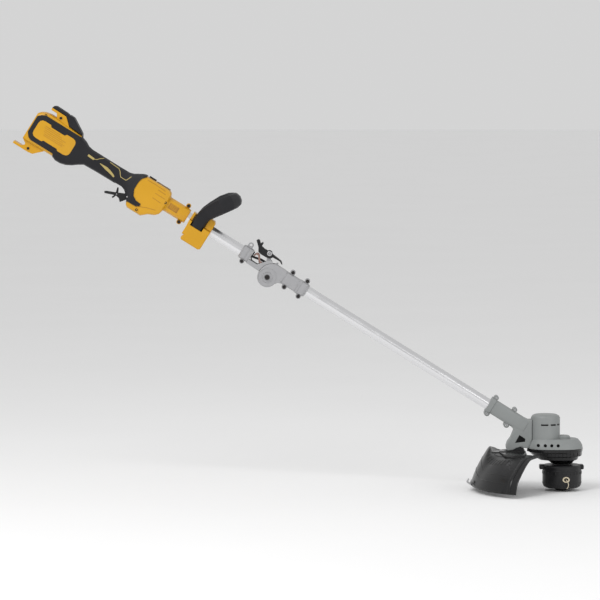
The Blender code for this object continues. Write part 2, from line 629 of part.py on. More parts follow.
def build_hinge(frames):
    shaft = frames["shaft"]
    w = CASTING_HALF_WIDTH
    bolt = [(0, -w - 4.5), (5.5, -w - 4.5), (6.5, -w - 3.5), (6.5, -w - GAP),
            (HINGE_BOLT_R, -w - GAP), (HINGE_BOLT_R, w + 6.5), (0, w + 6.5)]
    add("hinge_bolt", turned(bolt, 16, FOLD_X, 0, FOLD_Z, "Y"), shaft, "black")
    nut = bush((HINGE_BOLT_R + GAP) / math.cos(math.pi / 6), 7.5, w + GAP, w + 6.0, 6, FOLD_X, 0, FOLD_Z)
    add("hinge_nut", nut, shaft, "steel")
    add("upper_casting_screw", screw(-77, -TUBE_R - 7.5), shaft, "black")
    add("latch_pin", rod(LATCH_PIN_R, -LATCH_HALF_WIDTH - 1, LATCH_HALF_WIDTH + 1, 12,
                         LATCH_X, 0, LATCH_Z), shaft, "steel")
    lever = [(-73, 42), (-70, 47), (-66, 47), (-60, 41), (-57, 47), (-54, 45), (-54, 37),
             (-45, 35), (-35, 35), (-31, 38.5), (-25, 38.5), (-21, 34), (-4, 32.5), (8, 30.5),
             (13.5, 25), (13.5, 24.2), (10.5, 24.2), (5, 27.5), (-2, 28), (-16, 27), (-19, 22),
             (-30, 18.5), (-45, 18), (-54, 20), (-60, 30)]
    ob = add("latch_lever", prism([(x - LATCH_X, z - LATCH_Z) for x, z in lever],
                                  -LATCH_HALF_WIDTH, LATCH_HALF_WIDTH, 0.6),
             frames["latch"], "black")
    pocket = [(-57, 10), (-57, 31.5), (-36, 31.5), (-34.5, 50), (-21.5, 50), (-18, 30),
              (-17.5, 10)]
    half = EAR_OUT + SLIDE
    cut(ob, tool("latch_pocket", prism([(x - LATCH_X, z - LATCH_Z) for x, z in pocket],
                                       -half, half), frames["latch"]),
        tool("latch_bore", rod(LATCH_PIN_R + GAP, -30, 30, 12), frames["latch"]))
    coil = []
    for n in range(25):
        t = 2 * math.pi * n / 8
        coil.append((LATCH_X + 3.7 * math.cos(t), -3.6 + 7.2 * n / 24,
                     LATCH_Z + 3.7 * math.sin(t)))
    add("latch_spring", swept(coil, 0.6, 5), shaft, "steel")


def build_lower_tube(lower):
    r, bore = TUBE_R, TUBE_R - TUBE_WALL
    tube = [(bore, LOWER_TUBE_START), (r, LOWER_TUBE_START), (r, LOWER_TUBE_END),
            (bore, LOWER_TUBE_END)]
    add("lower_tube", turned(tube, 24, axis="X"), lower, "alu")
    route = [(-7.4, 0, 6), (5, 0, 5.5), (20, 0, 4), (34, 0, 1), (60, 0, 0), (350, 0, 0),
             (LOWER_TUBE_END - 5, 0, 0), (LOWER_TUBE_END + 17, 0, -1),
             (LOWER_TUBE_END + 37, 0, -2)]
    add("lower_harness", swept(smooth_route(route, 30), 3.0, 6), lower, "cable")


# ---- head ---------------------------------------------------------------------------------
def plan(z, rear, front, half, steps=6):
    """A level ring with round ends, from its rear and front ends and its half width."""
    r = min(half, (front - rear) / 2) - 0.01
    ring = []
    for cx, start in ((front - r, -90), (rear + r, 90)):
        for k in range(steps + 1):
            t = math.radians(start + 180 * k / steps)
            ring.append((cx + r * math.cos(t), r * math.sin(t) * half / (r + 0.01), z))
    return ring


def plan_stack(rows, inset=0.0):
    return from_rings([plan(z, rear + inset, front - inset, half - inset)
                       for z, rear, front, half in rows])


BASE_ROWS = [(BASE_Z, BASE_REAR, BASE_FRONT, BASE_HALF_WIDTH),
             (114.0, BASE_REAR + 1, BASE_FRONT - 1.5, BASE_HALF_WIDTH - 1.5),
             (122.0, BASE_REAR + 4, BASE_FRONT - 6, BASE_HALF_WIDTH - 5),
             (BASE_TOP, BASE_REAR + 10, BASE_FRONT - 13, BASE_HALF_WIDTH - 12)]
COVER_ROWS = [(BASE_Z - GAP, -88.0, 52.0, 50.0), (98.0, -88.0, 51.0, 49.0),
              (96.0, -82.0, 50.0, 46.0), (87.0, -72.0, 49.0, 43.0), (85.5, -68.0, 42.0, 40.0),
              (77.5, -58.0, 39.0, 37.0), (75.0, -36.0, 32.0, 30.0), (70.0, -29.0, 27.0, 26.5),
              (67.0, -26.0, 26.0, 26.0)]
FOOT = [(-126, 158), (-122, 152), (-130, 133), (-138, 122), (-141, 112), (-140, 104),
        (-137, 100), (-124, 102), (-115, 107), (-105, 110), (-95, 107), (-84, 107), (-76, 130),
        (-76, 178), (-86, 178), (-112, 190), (-135, 190)]
FOOT_HOLLOW = [(-121, 152), (-127, 134), (-134, 122), (-136.5, 112), (-136, 107), (-124, 106),
               (-106, 113.5), (-70, 113.5), (-70, 170), (-100, 170)]


def build_head_housing(tube_end, head):
    """Two shells: neck on the tube, motor cap, gear base and the foot that takes the guard."""
    bore = TUBE_R + BORE_EXTRA
    low, high, half = -TUBE_R - 2.5, TUBE_R + 6.0, TUBE_R + 4.5
    neck = [(-68.0, low - 2, high + 2, half + 2, 8.0), (-57.0, low - 2, high + 2, half + 2, 8.0),
            (-55.0, low, high, half, 8.0), (40.0, low, high, half, 8.0)]
    wall, r = HEAD_WALL, MOTOR_CAP_R
    foot = TUBE_R + 3.3          # half the width of the foot
    cap = turned([(0, 110), (r, 110), (r, 183), (r - 3, 188), (r - 9, MOTOR_CAP_TOP),
                  (0, MOTOR_CAP_TOP)], 28, MOTOR_X)
    inner = r - wall
    cap_hollow = turned([(0, 108), (inner, 108), (inner, 182), (inner - 3, 186), (inner - 8, 188),
                         (0, 188)], 28, MOTOR_X)
    boss = turned([(0, 125), (18, 125), (18, 135), (15, 138), (0, 138)], 20, 2)
    hollow_rows = [(BASE_Z - 1,) + BASE_ROWS[0][1:]] + BASE_ROWS[1:-1] + [
        (BASE_TOP - wall,) + BASE_ROWS[-1][1:]]
    solids = [tool("head_base", plan_stack(BASE_ROWS), head),
              tool("head_cap", cap, head),
              tool("head_boss", boss, head),
              tool("head_foot", prism(FOOT, -foot, foot, 1.5), head)]
    lumps = [(-60, high + 5, 6), (-5, high + 4, 6), (-60, low - 3.5, 7.5),
             (-3, low - 2.5, 7.5)]
    bosses = [rod(size, -13, 13, 14, x, 0, z) for x, z, size in lumps]
    solids.append(tool("head_screw_bosses", together(*bosses), tube_end))
    hollows = [tool("head_base_hollow", plan_stack(hollow_rows, wall), head),
               tool("head_cap_hollow", cap_hollow, head),
               tool("head_foot_hollow", prism(FOOT_HOLLOW, wall - foot, foot - wall), head),
               tool("head_tube_bore", rod(bore, -105, 7, 24, axis="X"), tube_end),
               tool("head_wire_bore", rod(9, -5, 43, 16, axis="X"), tube_end)]
    vents = [rod(4, -70, 70, 12, x, 0, 116) for x in (-62, -45, -29, -13)]
    vents += [box(x0, x1, -70, 70, 164.5, 168.5) for x0, x1 in ((-55, -37), (-31, -18), (-14, -8))]
    vents.append(prism([(-108, 140), (-93, 130), (-94, 123), (-119, 120)], -30, 30))
    hollows.append(tool("head_vents", together(*vents), head))
    for side, word in ((-1, "near"), (1, "far")):
        start = add("head_housing_" + word, whole_loft(neck), tube_end, "grey")
        fuse(start, *solids)
        cut(start, *hollows)
        lo, hi = sorted((-side * 300.0, side * GAP / 2))
        boolean(start, tool("split_" + word, box(-400, 400, lo, hi, -100, 400), head),
                "DIFFERENCE", "MANIFOLD")


def gear_outline(teeth, flank_points, first_tooth):
    """An involute outline with its tooth centres from the angle first_tooth, in degrees."""
    pitch = GEAR_MODULE * teeth / 2
    base = pitch * math.cos(math.radians(20))
    root, tip = pitch - 1.25 * GEAR_MODULE, pitch + 0.9 * GEAR_MODULE
    half_at_pitch = math.pi / (2 * teeth) - BACKLASH / (2 * pitch)

    def involute(r):
        a = math.acos(min(1.0, base / r))
        return math.tan(a) - a

    points = []
    for n in range(teeth):
        centre = math.radians(first_tooth) + 2 * math.pi * n / teeth
        flank = []
        for k in range(flank_points):
            r = root + (tip - root) * k / (flank_points - 1)
            half = half_at_pitch + involute(pitch) - involute(max(r, base))
            flank.append((r, max(half, 0.002)))
        for r, half in flank:
            points.append((r * math.cos(centre - half), r * math.sin(centre - half)))
        for r, half in flank[::-1]:
            points.append((r * math.cos(centre + half), r * math.sin(centre + half)))
    return points


def level_prism(outline, z0, z1):
    return from_rings([[(x, y, z) for x, y in outline] for z in (z0, z1)])


def build_drive(frames):
    head, motor, spool = frames["head"], frames["motor"], frames["spool"]
    inner = MOTOR_CAP_R - HEAD_WALL - GAP - 0.2
    can = [(8.0, 134), (inner, 134), (inner, 178), (12.0, 178), (12.0, 175), (20.5, 175),
           (20.5, 137), (8.0, 137)]
    add("motor_stator", turned(can, 28, MOTOR_X), head, "steel")
    rotor = [(0, GEAR_Z0 + 0.5), (4.0, GEAR_Z0 + 0.5), (4.0, 138.5), (19.8, 138.5),
             (19.8, 173), (4.0, 173), (4.0, 184), (0, 184)]
    ob = add("motor_rotor", turned(rotor, 20), motor, "copper")
    pinion = level_prism(gear_outline(PINION_TEETH, 4, 15), GEAR_Z0, GEAR_Z1)
    fuse(ob, tool("pinion_teeth", pinion, motor))
    plate = turned([(4.6, 124), (13, 124), (13, 133.6), (4.6, 133.6)], 20, MOTOR_X)
    add("motor_bearing", plate, head, "steel")
    gear = add("drive_gear", level_prism(gear_outline(GEAR_TEETH, 2, 0), GEAR_Z0, GEAR_Z1),
               spool, "steel")
    cut(gear, tool("gear_bore", rod(SPINDLE_R + GAP, 60, 140, 16, axis="Z"), spool))
    spindle = [(0, 56), (SPINDLE_R, 56), (SPINDLE_R, 101.4), (8, 101.4), (8, 104), (SPINDLE_R, 104),
               (SPINDLE_R, 122), (0, 122)]
    add("spindle", turned(spindle, 16), spool, "steel")
    add("spindle_bearing", bush(SPINDLE_R + 0.35, 12, 78, 86, 20, axis="Z"), head, "steel")
    cover = add("base_cover", plan_stack(COVER_ROWS), head, "black")
    rows = [(BASE_Z + 5,) + COVER_ROWS[0][1:], (98.0, -84.0, 51.0, 49.0),
            (90.0, -76.0, 49.0, 44.0), (89.0, -70.0, 44.0, 40.5)]
    cut(cover, tool("cover_hollow", plan_stack(rows, 3.0), head),
        tool("cover_bearing_seat", rod(12 + GAP, 77.7, 95, 20, axis="Z"), head),
        tool("cover_bore", rod(SPINDLE_R + 1.0, 50, 100, 16, axis="Z"), head))


def build_spool_head(spool, knob):
    r, wall = SPOOL_HEAD_R, SPOOL_HEAD_WALL
    hub = [(0, HUB_TOP), (27, HUB_TOP), (r - 3, HUB_TOP - 1), (r, HUB_TOP - 4), (r, CUP_TOP + GAP),
           (12, CUP_TOP + GAP), (12, 47), (0, 47)]
    ob = add("spool_housing", turned(hub[::-1], 28), spool, "black")
    ears = together(box(-57, -38, -13, 13, 53, 64.5, 2.0), box(38, 54, -13, 13, 53, 64.5, 2.0))
    fuse(ob, tool("housing_ears", ears, spool))
    cut(ob, tool("housing_bore", rod(SPINDLE_R + GAP, 55.6, 80, 16, axis="Z"), spool))
    cup = [(KNOB_R + SLIDE, CUP_BOTTOM), (40, CUP_BOTTOM), (45.5, 9.5), (r, 18), (r, CUP_TOP),
           (r - wall, CUP_TOP), (r - wall, 12), (KNOB_R + SLIDE, 10)]
    cup_ob = add("spool_cup", turned(cup, 28), spool, "black")
    slots = together(rod(4.5, -60, -40, 12, 7, 0, EYELET_Z), rod(4.5, 40, 60, 12, -7, 0, EYELET_Z))
    cut(cup_ob, tool("eyelet_holes", slots, spool))
    add("line_spool", turned([(13, 16.3), (41, 16.3), (41, 18.5), (34, 18.5), (34, 40), (41, 40),
                              (41, 42.2), (13, 42.2)], 24), knob, "black")
    turns = [(19 * math.cos(t), 19 * math.sin(t), 43.2 + 8.2 * n / 24)
             for n, t in ((n, 2 * math.pi * n / 10) for n in range(25))]
    add("knob_spring", swept(turns, 0.7, 5), spool, "steel")
    stem = [(0, 0), (15.5, 0), (KNOB_R, 2.5), (KNOB_R, 12), (22, 12.6), (22, 16), (12, 16),
            (12, 30), (0, 30)]
    add("bump_knob", turned(stem, 24), knob, "black")
    for side, word in ((-1, "near"), (1, "far")):
        x = -7 * side
        face = math.sqrt(r * r - 49)
        ring = [(2.6, face - 3.0), (4.2, face - 3.0), (4.2, face + 0.8), (9.0, face + 0.9),
                (9.0, face + 1.9), (7.0, face + 2.6), (3.6, face + 2.6), (2.6, face + 1.0)]
        if side < 0:
            ring = [(a, -h) for a, h in ring]
        eye = turned(ring, 16, 0, 0, 0, "Y")
        eye.transform(Matrix.Diagonal((1.0, 1.0, 0.8, 1.0)))
        eye.transform(Matrix.Translation((x, 0, EYELET_Z)))
        add("eyelet_" + word, eye, spool, "cream")


LINE_ROUTE = [(7.0, -47.6, 31.0), (7.2, -51.0, 30.8), (8.8, -54.6, 28.8), (11.2, -56.6, 24.5),
              (12.4, -56.8, 19.0), (11.2, -55.8, 13.5), (8.6, -54.6, 9.0)]


def line_curve(name, points, parent):
    """A trimming-line tail: a thin round cord along a smooth curve, with filled caps."""
    data = bpy.data.curves.new(name, "CURVE")
    data.dimensions = "3D"
    data.bevel_depth = LINE_R * MM
    data.bevel_resolution = 2
    data.use_fill_caps = True
    route = smooth_route(points, 2.4)
    spline = data.splines.new("POLY")
    spline.points.add(len(route) - 1)
    for p, co in zip(spline.points, route):
        p.co = (*(co * MM), 1.0)
    ob = bpy.data.objects.new(name, data)
    bpy.context.scene.collection.objects.link(ob)
    ob.parent = parent
    data.materials.append(finish_of(name, "cream"))
    return ob


# ---- guard --------------------------------------------------------------------------------
# angle from straight behind towards the near side, then the (r, z) profile from its inner
# edge to its lower lip
GUARD = [
    (56.0, [(112, 96), (140, 94.5), (160, 91), (181, 77), (206, 54), (221, 36), (229, 10)]),
    (46.0, [(112, 96), (140, 94.5), (162, 91), (183, 77), (206, 56), (221, 36), (229, 10)]),
    (35.0, [(114, 95.5), (140, 94.5), (165, 90), (186, 78), (207, 57), (221, 36), (229, 10)]),
    (26.0, [(114, 95), (142, 94.5), (166, 89), (190, 76), (208, 56), (221, 36), (229, 11)]),
    (17.0, [(114, 95), (146, 94.5), (172, 88), (191, 76), (206, 60), (220, 37), (229, 12)]),
    (8.0, [(114, 95), (152, 94.5), (176, 92), (191, 90), (203, 73), (218, 46), (229, 13)]),
    (-2.0, [(114, 95), (158, 94.5), (173, 97), (181, 107), (197, 85), (215, 52), (230, 14)]),
    (-14.0, [(116, 95), (158, 94.5), (175, 97), (184, 105), (198, 85), (216, 52), (230, 14)]),
    (-26.0, [(120, 95), (158, 93.5), (173, 93), (182, 97), (197, 80), (216, 50), (230, 14)]),
    (-34.0, [(124, 94), (160, 92), (176, 89), (186, 87), (200, 73), (217, 47), (229, 14)]),
]


def guard_ring(angle, profile):
    """The profile and its offset by the wall, set at an angle round the spool's axis."""
    outer = [Vector(p) for p in profile]
    inner = []
    for i, p in enumerate(outer):
        along = (outer[min(i + 1, len(outer) - 1)] - outer[max(i - 1, 0)]).normalized()
        inner.append(p + GUARD_WALL * Vector((along.y, -along.x)))
    t = math.radians(angle)
    return [(-p.x * math.cos(t), -p.x * math.sin(t), p.y) for p in outer + inner[::-1]]


def build_guard(head):
    z1 = GUARD_PLATE_Z
    z0 = z1 - GUARD_PLATE_THICK
    half = GUARD_PLATE_HALF_WIDTH
    skirt = add("guard", from_rings([guard_ring(a, p) for a, p in GUARD]), head, "black")
    arm = [(-158, -half), (-92, -half), (-92, half), (-150, half), (-158, half - 8)]
    wing = [(-92, -half), (-158, -half), (-150, -70), (-128, -98), (-100, -98), (-92, -60)]
    fuse(skirt, tool("guard_plate", level_prism(arm, z0, z1), head),
         tool("guard_wing", level_prism(wing, z0 - 1, z1 - 2), head))
    fuse(skirt, tool("guard_web", level_prism([(-187, 4), (-150, 12), (-150, -12), (-187, -10)],
                                              z0 - 1, z0 + 4), head))
    blade = [(-229.6, 14.5), (-238.5, 20), (-240, 22), (-235, 30), (-233.4, 29.4), (-236.6, 23),
             (-228.4, 18)]
    add("cutoff_blade", prism(blade, -24, -4), head, "steel")


def main():
    clear_scene()
    shaft = empty("shaft_frame", None, SHAFT_X, 0, SHAFT_Z, SHAFT_TILT)
    fold = empty("fold_axis", shaft, FOLD_X, 0, FOLD_Z)
    lower = empty("lower_shaft_frame", fold, -FOLD_X, 0, -FOLD_Z)
    tilt = math.radians(SHAFT_TILT)
    head_x = -SHAFT_X * math.cos(tilt) + SHAFT_Z * math.sin(tilt)
    head_z = -SHAFT_X * math.sin(tilt) - SHAFT_Z * math.cos(tilt)
    head = empty("head_frame", lower, head_x, 0, head_z, -SHAFT_TILT)
    trigger = empty("trigger_axis", shaft, TRIGGER_X, 0, TRIGGER_Z)
    spool = empty("spool_axis", head)
    frames = {
        "shaft": shaft, "head": head, "trigger": trigger, "spool": spool,
        "lock": empty("lock_axis", trigger, LOCK_X - TRIGGER_X, 0, LOCK_Z - TRIGGER_Z),
        "slider": empty("slider_frame", shaft),
        "latch": empty("latch_axis", shaft, LATCH_X, 0, LATCH_Z),
        "motor": empty("motor_axis", head, MOTOR_X),
    }
    build_housing(shaft)
    build_inside(shaft)
    build_trigger(frames)
    build_upper_tube(shaft)
    build_front_handle(empty("handle_slide", shaft))
    build_upper_casting(shaft)
    build_lower_casting(lower)
    build_hinge(frames)
    build_lower_tube(lower)
    build_head_housing(empty("tube_end", lower, LOWER_TUBE_END), head)
    build_drive(frames)
    build_spool_head(spool, empty("knob_slide", spool))
    line_curve("trimmer_line_near", LINE_ROUTE, spool)
    line_curve("trimmer_line_far", [(-x, -y, z) for x, y, z in LINE_ROUTE], spool)
    build_guard(head)


main()
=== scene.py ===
"""Looks of the folding string trimmer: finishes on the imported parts, and the fine pieces."""
import json
import math

import bmesh
import bpy
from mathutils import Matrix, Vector
from mathutils.bvhtree import BVHTree


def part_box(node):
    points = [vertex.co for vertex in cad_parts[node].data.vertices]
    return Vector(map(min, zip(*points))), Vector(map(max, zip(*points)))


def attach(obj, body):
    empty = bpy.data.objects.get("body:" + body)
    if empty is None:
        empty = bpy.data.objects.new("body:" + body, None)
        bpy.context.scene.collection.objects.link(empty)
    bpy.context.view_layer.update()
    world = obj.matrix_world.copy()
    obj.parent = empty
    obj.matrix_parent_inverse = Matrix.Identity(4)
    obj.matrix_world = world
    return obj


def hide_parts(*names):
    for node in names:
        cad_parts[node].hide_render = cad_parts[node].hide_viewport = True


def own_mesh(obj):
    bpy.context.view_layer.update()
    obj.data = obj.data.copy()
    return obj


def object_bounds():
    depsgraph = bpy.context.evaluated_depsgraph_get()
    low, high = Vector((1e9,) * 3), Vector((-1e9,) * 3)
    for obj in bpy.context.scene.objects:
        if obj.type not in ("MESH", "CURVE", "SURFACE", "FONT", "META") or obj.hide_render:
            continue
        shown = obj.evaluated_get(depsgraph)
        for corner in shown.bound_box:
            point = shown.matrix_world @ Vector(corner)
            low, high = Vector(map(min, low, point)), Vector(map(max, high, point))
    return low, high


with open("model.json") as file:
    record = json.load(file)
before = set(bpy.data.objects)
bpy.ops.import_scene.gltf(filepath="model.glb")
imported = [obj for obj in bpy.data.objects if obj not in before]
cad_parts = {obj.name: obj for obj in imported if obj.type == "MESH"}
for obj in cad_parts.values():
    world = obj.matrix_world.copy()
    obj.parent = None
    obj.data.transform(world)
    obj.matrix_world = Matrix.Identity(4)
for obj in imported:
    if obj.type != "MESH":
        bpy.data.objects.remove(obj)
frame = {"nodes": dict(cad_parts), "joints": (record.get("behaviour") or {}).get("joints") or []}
CAD_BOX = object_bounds()

MM = 0.001
NODES = frame["nodes"]
JOINTS = {j["name"]: j for j in frame["joints"]}
NEAR, FAR = Vector((0, -1, 0)), Vector((0, 1, 0))    # the two ways across the tool

# ---- the shaft's own frame, hung on the fold axis --------------------------------------
TILT = math.radians(32.0)
FOLD_U, FOLD_V = -2.0, -22.0
ALONG = Vector((math.cos(TILT), 0.0, -math.sin(TILT)))
UP = Vector((math.sin(TILT), 0.0, math.cos(TILT)))
FOLD = Vector(JOINTS["shaft_fold"]["pos_m"])
SHAFT_ORIGIN = FOLD - (FOLD_U * ALONG + FOLD_V * UP) * MM


def on_shaft(u, y, v):
    """A point given along, across and square to the shaft, in millimetres."""
    return SHAFT_ORIGIN + (u * ALONG + v * UP) * MM + Vector((0.0, y * MM, 0.0))


def on_head(x, y, z):
    """A point given from the spool's axis, in millimetres."""
    return Vector((x, y, z)) * MM


# ---- camera ------------------------------------------------------------------------------
VIEW_WIDTH = 1.5                 # metres across the picture at the tool
CAMERA_FAR = 9.0
CAMERA_LIFT = math.radians(4.0)
AIM = Vector((-0.657, 0.0, 0.4775))


def build_camera():
    """A long lens square on to the near side, lifted a little."""
    data = bpy.data.cameras.new("camera")
    data.sensor_width = 36.0
    data.lens = 36.0 * CAMERA_FAR / VIEW_WIDTH
    data.clip_end = 100.0
    ob = bpy.data.objects.new("camera", data)
    bpy.context.scene.collection.objects.link(ob)
    ob.location = AIM + CAMERA_FAR * Vector((0, -math.cos(CAMERA_LIFT), math.sin(CAMERA_LIFT)))
    ob.rotation_euler = (math.pi / 2 - CAMERA_LIFT, 0, 0)
    bpy.context.scene.camera = ob
    bpy.context.scene.view_settings.view_transform = "Standard"


# ---- shader groups -------------------------------------------------------------------------
def new_group(name, inputs, outputs):
    """A shader group with float inputs (name, default) and named outputs."""
    tree = bpy.data.node_groups.new(name, "ShaderNodeTree")
    for label, default in inputs:
        socket = tree.interface.new_socket(label, in_out="INPUT", socket_type="NodeSocketFloat")
        socket.default_value = default
    for label in outputs:
        tree.interface.new_socket(label, in_out="OUTPUT", socket_type="NodeSocketFloat")
    return tree, tree.nodes.new("NodeGroupInput"), tree.nodes.new("NodeGroupOutput")


def ramp(tree, value, low, high):
    """A smooth step of a value between two levels."""
    node = tree.nodes.new("ShaderNodeMapRange")
    node.interpolation_type = "SMOOTHSTEP"
    node.inputs["From Min"].default_value = low
    node.inputs["From Max"].default_value = high
    tree.links.new(value, node.inputs["Value"])
    return node.outputs["Result"]


def moulded_grain_group():
    """Fine spark-eroded grain of moulded plastic, with a slow drift of tone."""
    tree, inp, out = new_group("moulded_grain", [("Scale", 900.0), ("Drift", 14.0)],
                               ["Height", "Tone"])
    coord = tree.nodes.new("ShaderNodeTexCoord")
    cells = tree.nodes.new("ShaderNodeTexVoronoi")
    tree.links.new(coord.outputs["Object"], cells.inputs["Vector"])
    tree.links.new(inp.outputs["Scale"], cells.inputs["Scale"])
    fine = tree.nodes.new("ShaderNodeTexNoise")
    fine.inputs["Detail"].default_value = 4.0
    tree.links.new(coord.outputs["Object"], fine.inputs["Vector"])
    tree.links.new(inp.outputs["Scale"], fine.inputs["Scale"])
    both = tree.nodes.new("ShaderNodeMath")
    both.operation = "MULTIPLY"
    tree.links.new(cells.outputs["Distance"], both.inputs[0])
    tree.links.new(fine.outputs["Fac"], both.inputs[1])
    tree.links.new(both.outputs[0], out.inputs["Height"])
    drift = tree.nodes.new("ShaderNodeTexNoise")
    drift.inputs["Detail"].default_value = 6.0
    tree.links.new(coord.outputs["Object"], drift.inputs["Vector"])
    tree.links.new(inp.outputs["Drift"], drift.inputs["Scale"])
    tree.links.new(ramp(tree, drift.outputs["Fac"], 0.3, 0.7), out.inputs["Tone"])
    return tree


def eased_edge_group():
    """Moulded corners eased by a small radius, and where they get rubbed."""
    tree, inp, out = new_group("eased_edge", [("Radius", 0.0012), ("Scale", 160.0)], ["Mask"])
    tree.interface.new_socket("Normal", in_out="OUTPUT", socket_type="NodeSocketVector")
    geometry = tree.nodes.new("ShaderNodeNewGeometry")
    eased = tree.nodes.new("ShaderNodeBevel")
    eased.samples = 6
    tree.links.new(inp.outputs["Radius"], eased.inputs["Radius"])
    tree.links.new(eased.outputs["Normal"], out.inputs["Normal"])
    turned = tree.nodes.new("ShaderNodeVectorMath")
    turned.operation = "DOT_PRODUCT"
    tree.links.new(eased.outputs["Normal"], turned.inputs[0])
    tree.links.new(geometry.outputs["Normal"], turned.inputs[1])
    edge = ramp(tree, turned.outputs["Value"], 0.998, 0.93)
    coord = tree.nodes.new("ShaderNodeTexCoord")
    noise = tree.nodes.new("ShaderNodeTexNoise")
    noise.inputs["Detail"].default_value = 8.0
    tree.links.new(coord.outputs["Object"], noise.inputs["Vector"])
    tree.links.new(inp.outputs["Scale"], noise.inputs["Scale"])
    patch = ramp(tree, noise.outputs["Fac"], 0.35, 0.7)
    mask = tree.nodes.new("ShaderNodeMath")
    mask.operation = "MULTIPLY"
    tree.links.new(edge, mask.inputs[0])
    tree.links.new(patch, mask.inputs[1])
    tree.links.new(mask.outputs[0], out.inputs["Mask"])
    return tree


def drawn_metal_group():
    """Fine lines left along a drawn tube or round a turned part."""
    tree, inp, out = new_group("drawn_metal", [("Along", 6.0), ("Across", 900.0)],
                               ["Lines", "Smudge"])
    coord = tree.nodes.new("ShaderNodeTexCoord")
    turn = tree.nodes.new("ShaderNodeMapping")
    turn.inputs["Rotation"].default_value = (0.0, -TILT, 0.0)
    tree.links.new(coord.outputs["Object"], turn.inputs["Vector"])
    stretch = tree.nodes.new("ShaderNodeCombineXYZ")
    for axis, label in (("X", "Along"), ("Y", "Across"), ("Z", "Across")):
        tree.links.new(inp.outputs[label], stretch.inputs[axis])
    scaled = tree.nodes.new("ShaderNodeVectorMath")
    scaled.operation = "MULTIPLY"
    tree.links.new(turn.outputs["Vector"], scaled.inputs[0])
    tree.links.new(stretch.outputs["Vector"], scaled.inputs[1])
    lines = tree.nodes.new("ShaderNodeTexNoise")
    lines.inputs["Scale"].default_value = 1.0
    lines.inputs["Detail"].default_value = 5.0
    tree.links.new(scaled.outputs["Vector"], lines.inputs["Vector"])
    tree.links.new(lines.outputs["Fac"], out.inputs["Lines"])
    smudge = tree.nodes.new("ShaderNodeTexNoise")
    smudge.inputs["Scale"].default_value = 24.0
    smudge.inputs["Detail"].default_value = 7.0
    tree.links.new(coord.outputs["Object"], smudge.inputs["Vector"])
    tree.links.new(ramp(tree, smudge.outputs["Fac"], 0.35, 0.75), out.inputs["Smudge"])
    return tree


def start_material(name):
    """A new material with its node tree and its Principled shader."""
    mat = bpy.data.materials.new(name)
    mat.use_nodes = True
    tree = mat.node_tree
    return mat, tree, tree.nodes["Principled BSDF"]


def placed(tree, group, **values):
    """A shader group placed in a material with its own values."""
    node = tree.nodes.new("ShaderNodeGroup")
    node.node_tree = group
    for label, value in values.items():
        node.inputs[label].default_value = value
    return node


def mixed(tree, fac, a, b):
    """A mix of two colours, or of a colour socket and a colour."""
    node = tree.nodes.new("ShaderNodeMix")
    node.data_type = "RGBA"
    tree.links.new(fac, node.inputs["Factor"])
    for index, value in ((6, a), (7, b)):
        if isinstance(value, tuple):
            node.inputs[index].default_value = (*value, 1.0)
        else:
            tree.links.new(value, node.inputs[index])
    return node.outputs[2]


def rough_between(tree, fac, low, high):
    """A roughness that runs between two values with a mask."""
    node = tree.nodes.new("ShaderNodeMapRange")
    node.inputs["To Min"].default_value = low
    node.inputs["To Max"].default_value = high
    tree.links.new(fac, node.inputs["Value"])
    return node.outputs["Result"]


def bumped(tree, bsdf, height, strength, distance, normal):
    """Lay a height over a normal as a fine bump."""
    node = tree.nodes.new("ShaderNodeBump")
    tree.links.new(normal, node.inputs["Normal"])
    node.inputs["Strength"].default_value = strength
    node.inputs["Distance"].default_value = distance
    tree.links.new(height, node.inputs["Height"])
    tree.links.new(node.outputs["Normal"], bsdf.inputs["Normal"])


GRAIN = moulded_grain_group()
EASED = eased_edge_group()
DRAWN = drawn_metal_group()


def moulded(name, dark, light, worn, rough, grain=900.0, depth=0.12, coat=0.0, ease=0.0012,
            gloss=0.5):
    """Moulded plastic or rubber: two close tones, fine grain and eased, rubbed edges."""
    mat, tree, bsdf = start_material(name)
    grains = placed(tree, GRAIN, Scale=grain)
    edges = placed(tree, EASED, Radius=ease)
    body = mixed(tree, grains.outputs["Tone"], dark, light)
    tree.links.new(mixed(tree, edges.outputs["Mask"], body, worn), bsdf.inputs["Base Color"])
    tree.links.new(rough_between(tree, grains.outputs["Tone"], rough[0], rough[1]),
                   bsdf.inputs["Roughness"])
    bumped(tree, bsdf, grains.outputs["Height"], depth, 0.0003, edges.outputs["Normal"])
    bsdf.inputs["Specular IOR Level"].default_value = gloss
    bsdf.inputs["Coat Weight"].default_value = coat
    bsdf.inputs["Coat Roughness"].default_value = 0.25
    return mat


def metal(name, dark, light, rough, along=6.0, across=900.0, metallic=1.0, depth=0.05,
          ease=0.0008):
    """Bare or plated metal with drawn lines, faint smudges and eased edges."""
    mat, tree, bsdf = start_material(name)
    drawn = placed(tree, DRAWN, Along=along, Across=across)
    edges = placed(tree, EASED, Radius=ease)
    tone = mixed(tree, drawn.outputs["Lines"], dark, light)
    tree.links.new(mixed(tree, edges.outputs["Mask"], tone, light), bsdf.inputs["Base Color"])
    tree.links.new(rough_between(tree, drawn.outputs["Smudge"], rough[0], rough[1]),
                   bsdf.inputs["Roughness"])
    bsdf.inputs["Metallic"].default_value = metallic
    bumped(tree, bsdf, drawn.outputs["Lines"], depth, 0.0002, edges.outputs["Normal"])
    return mat


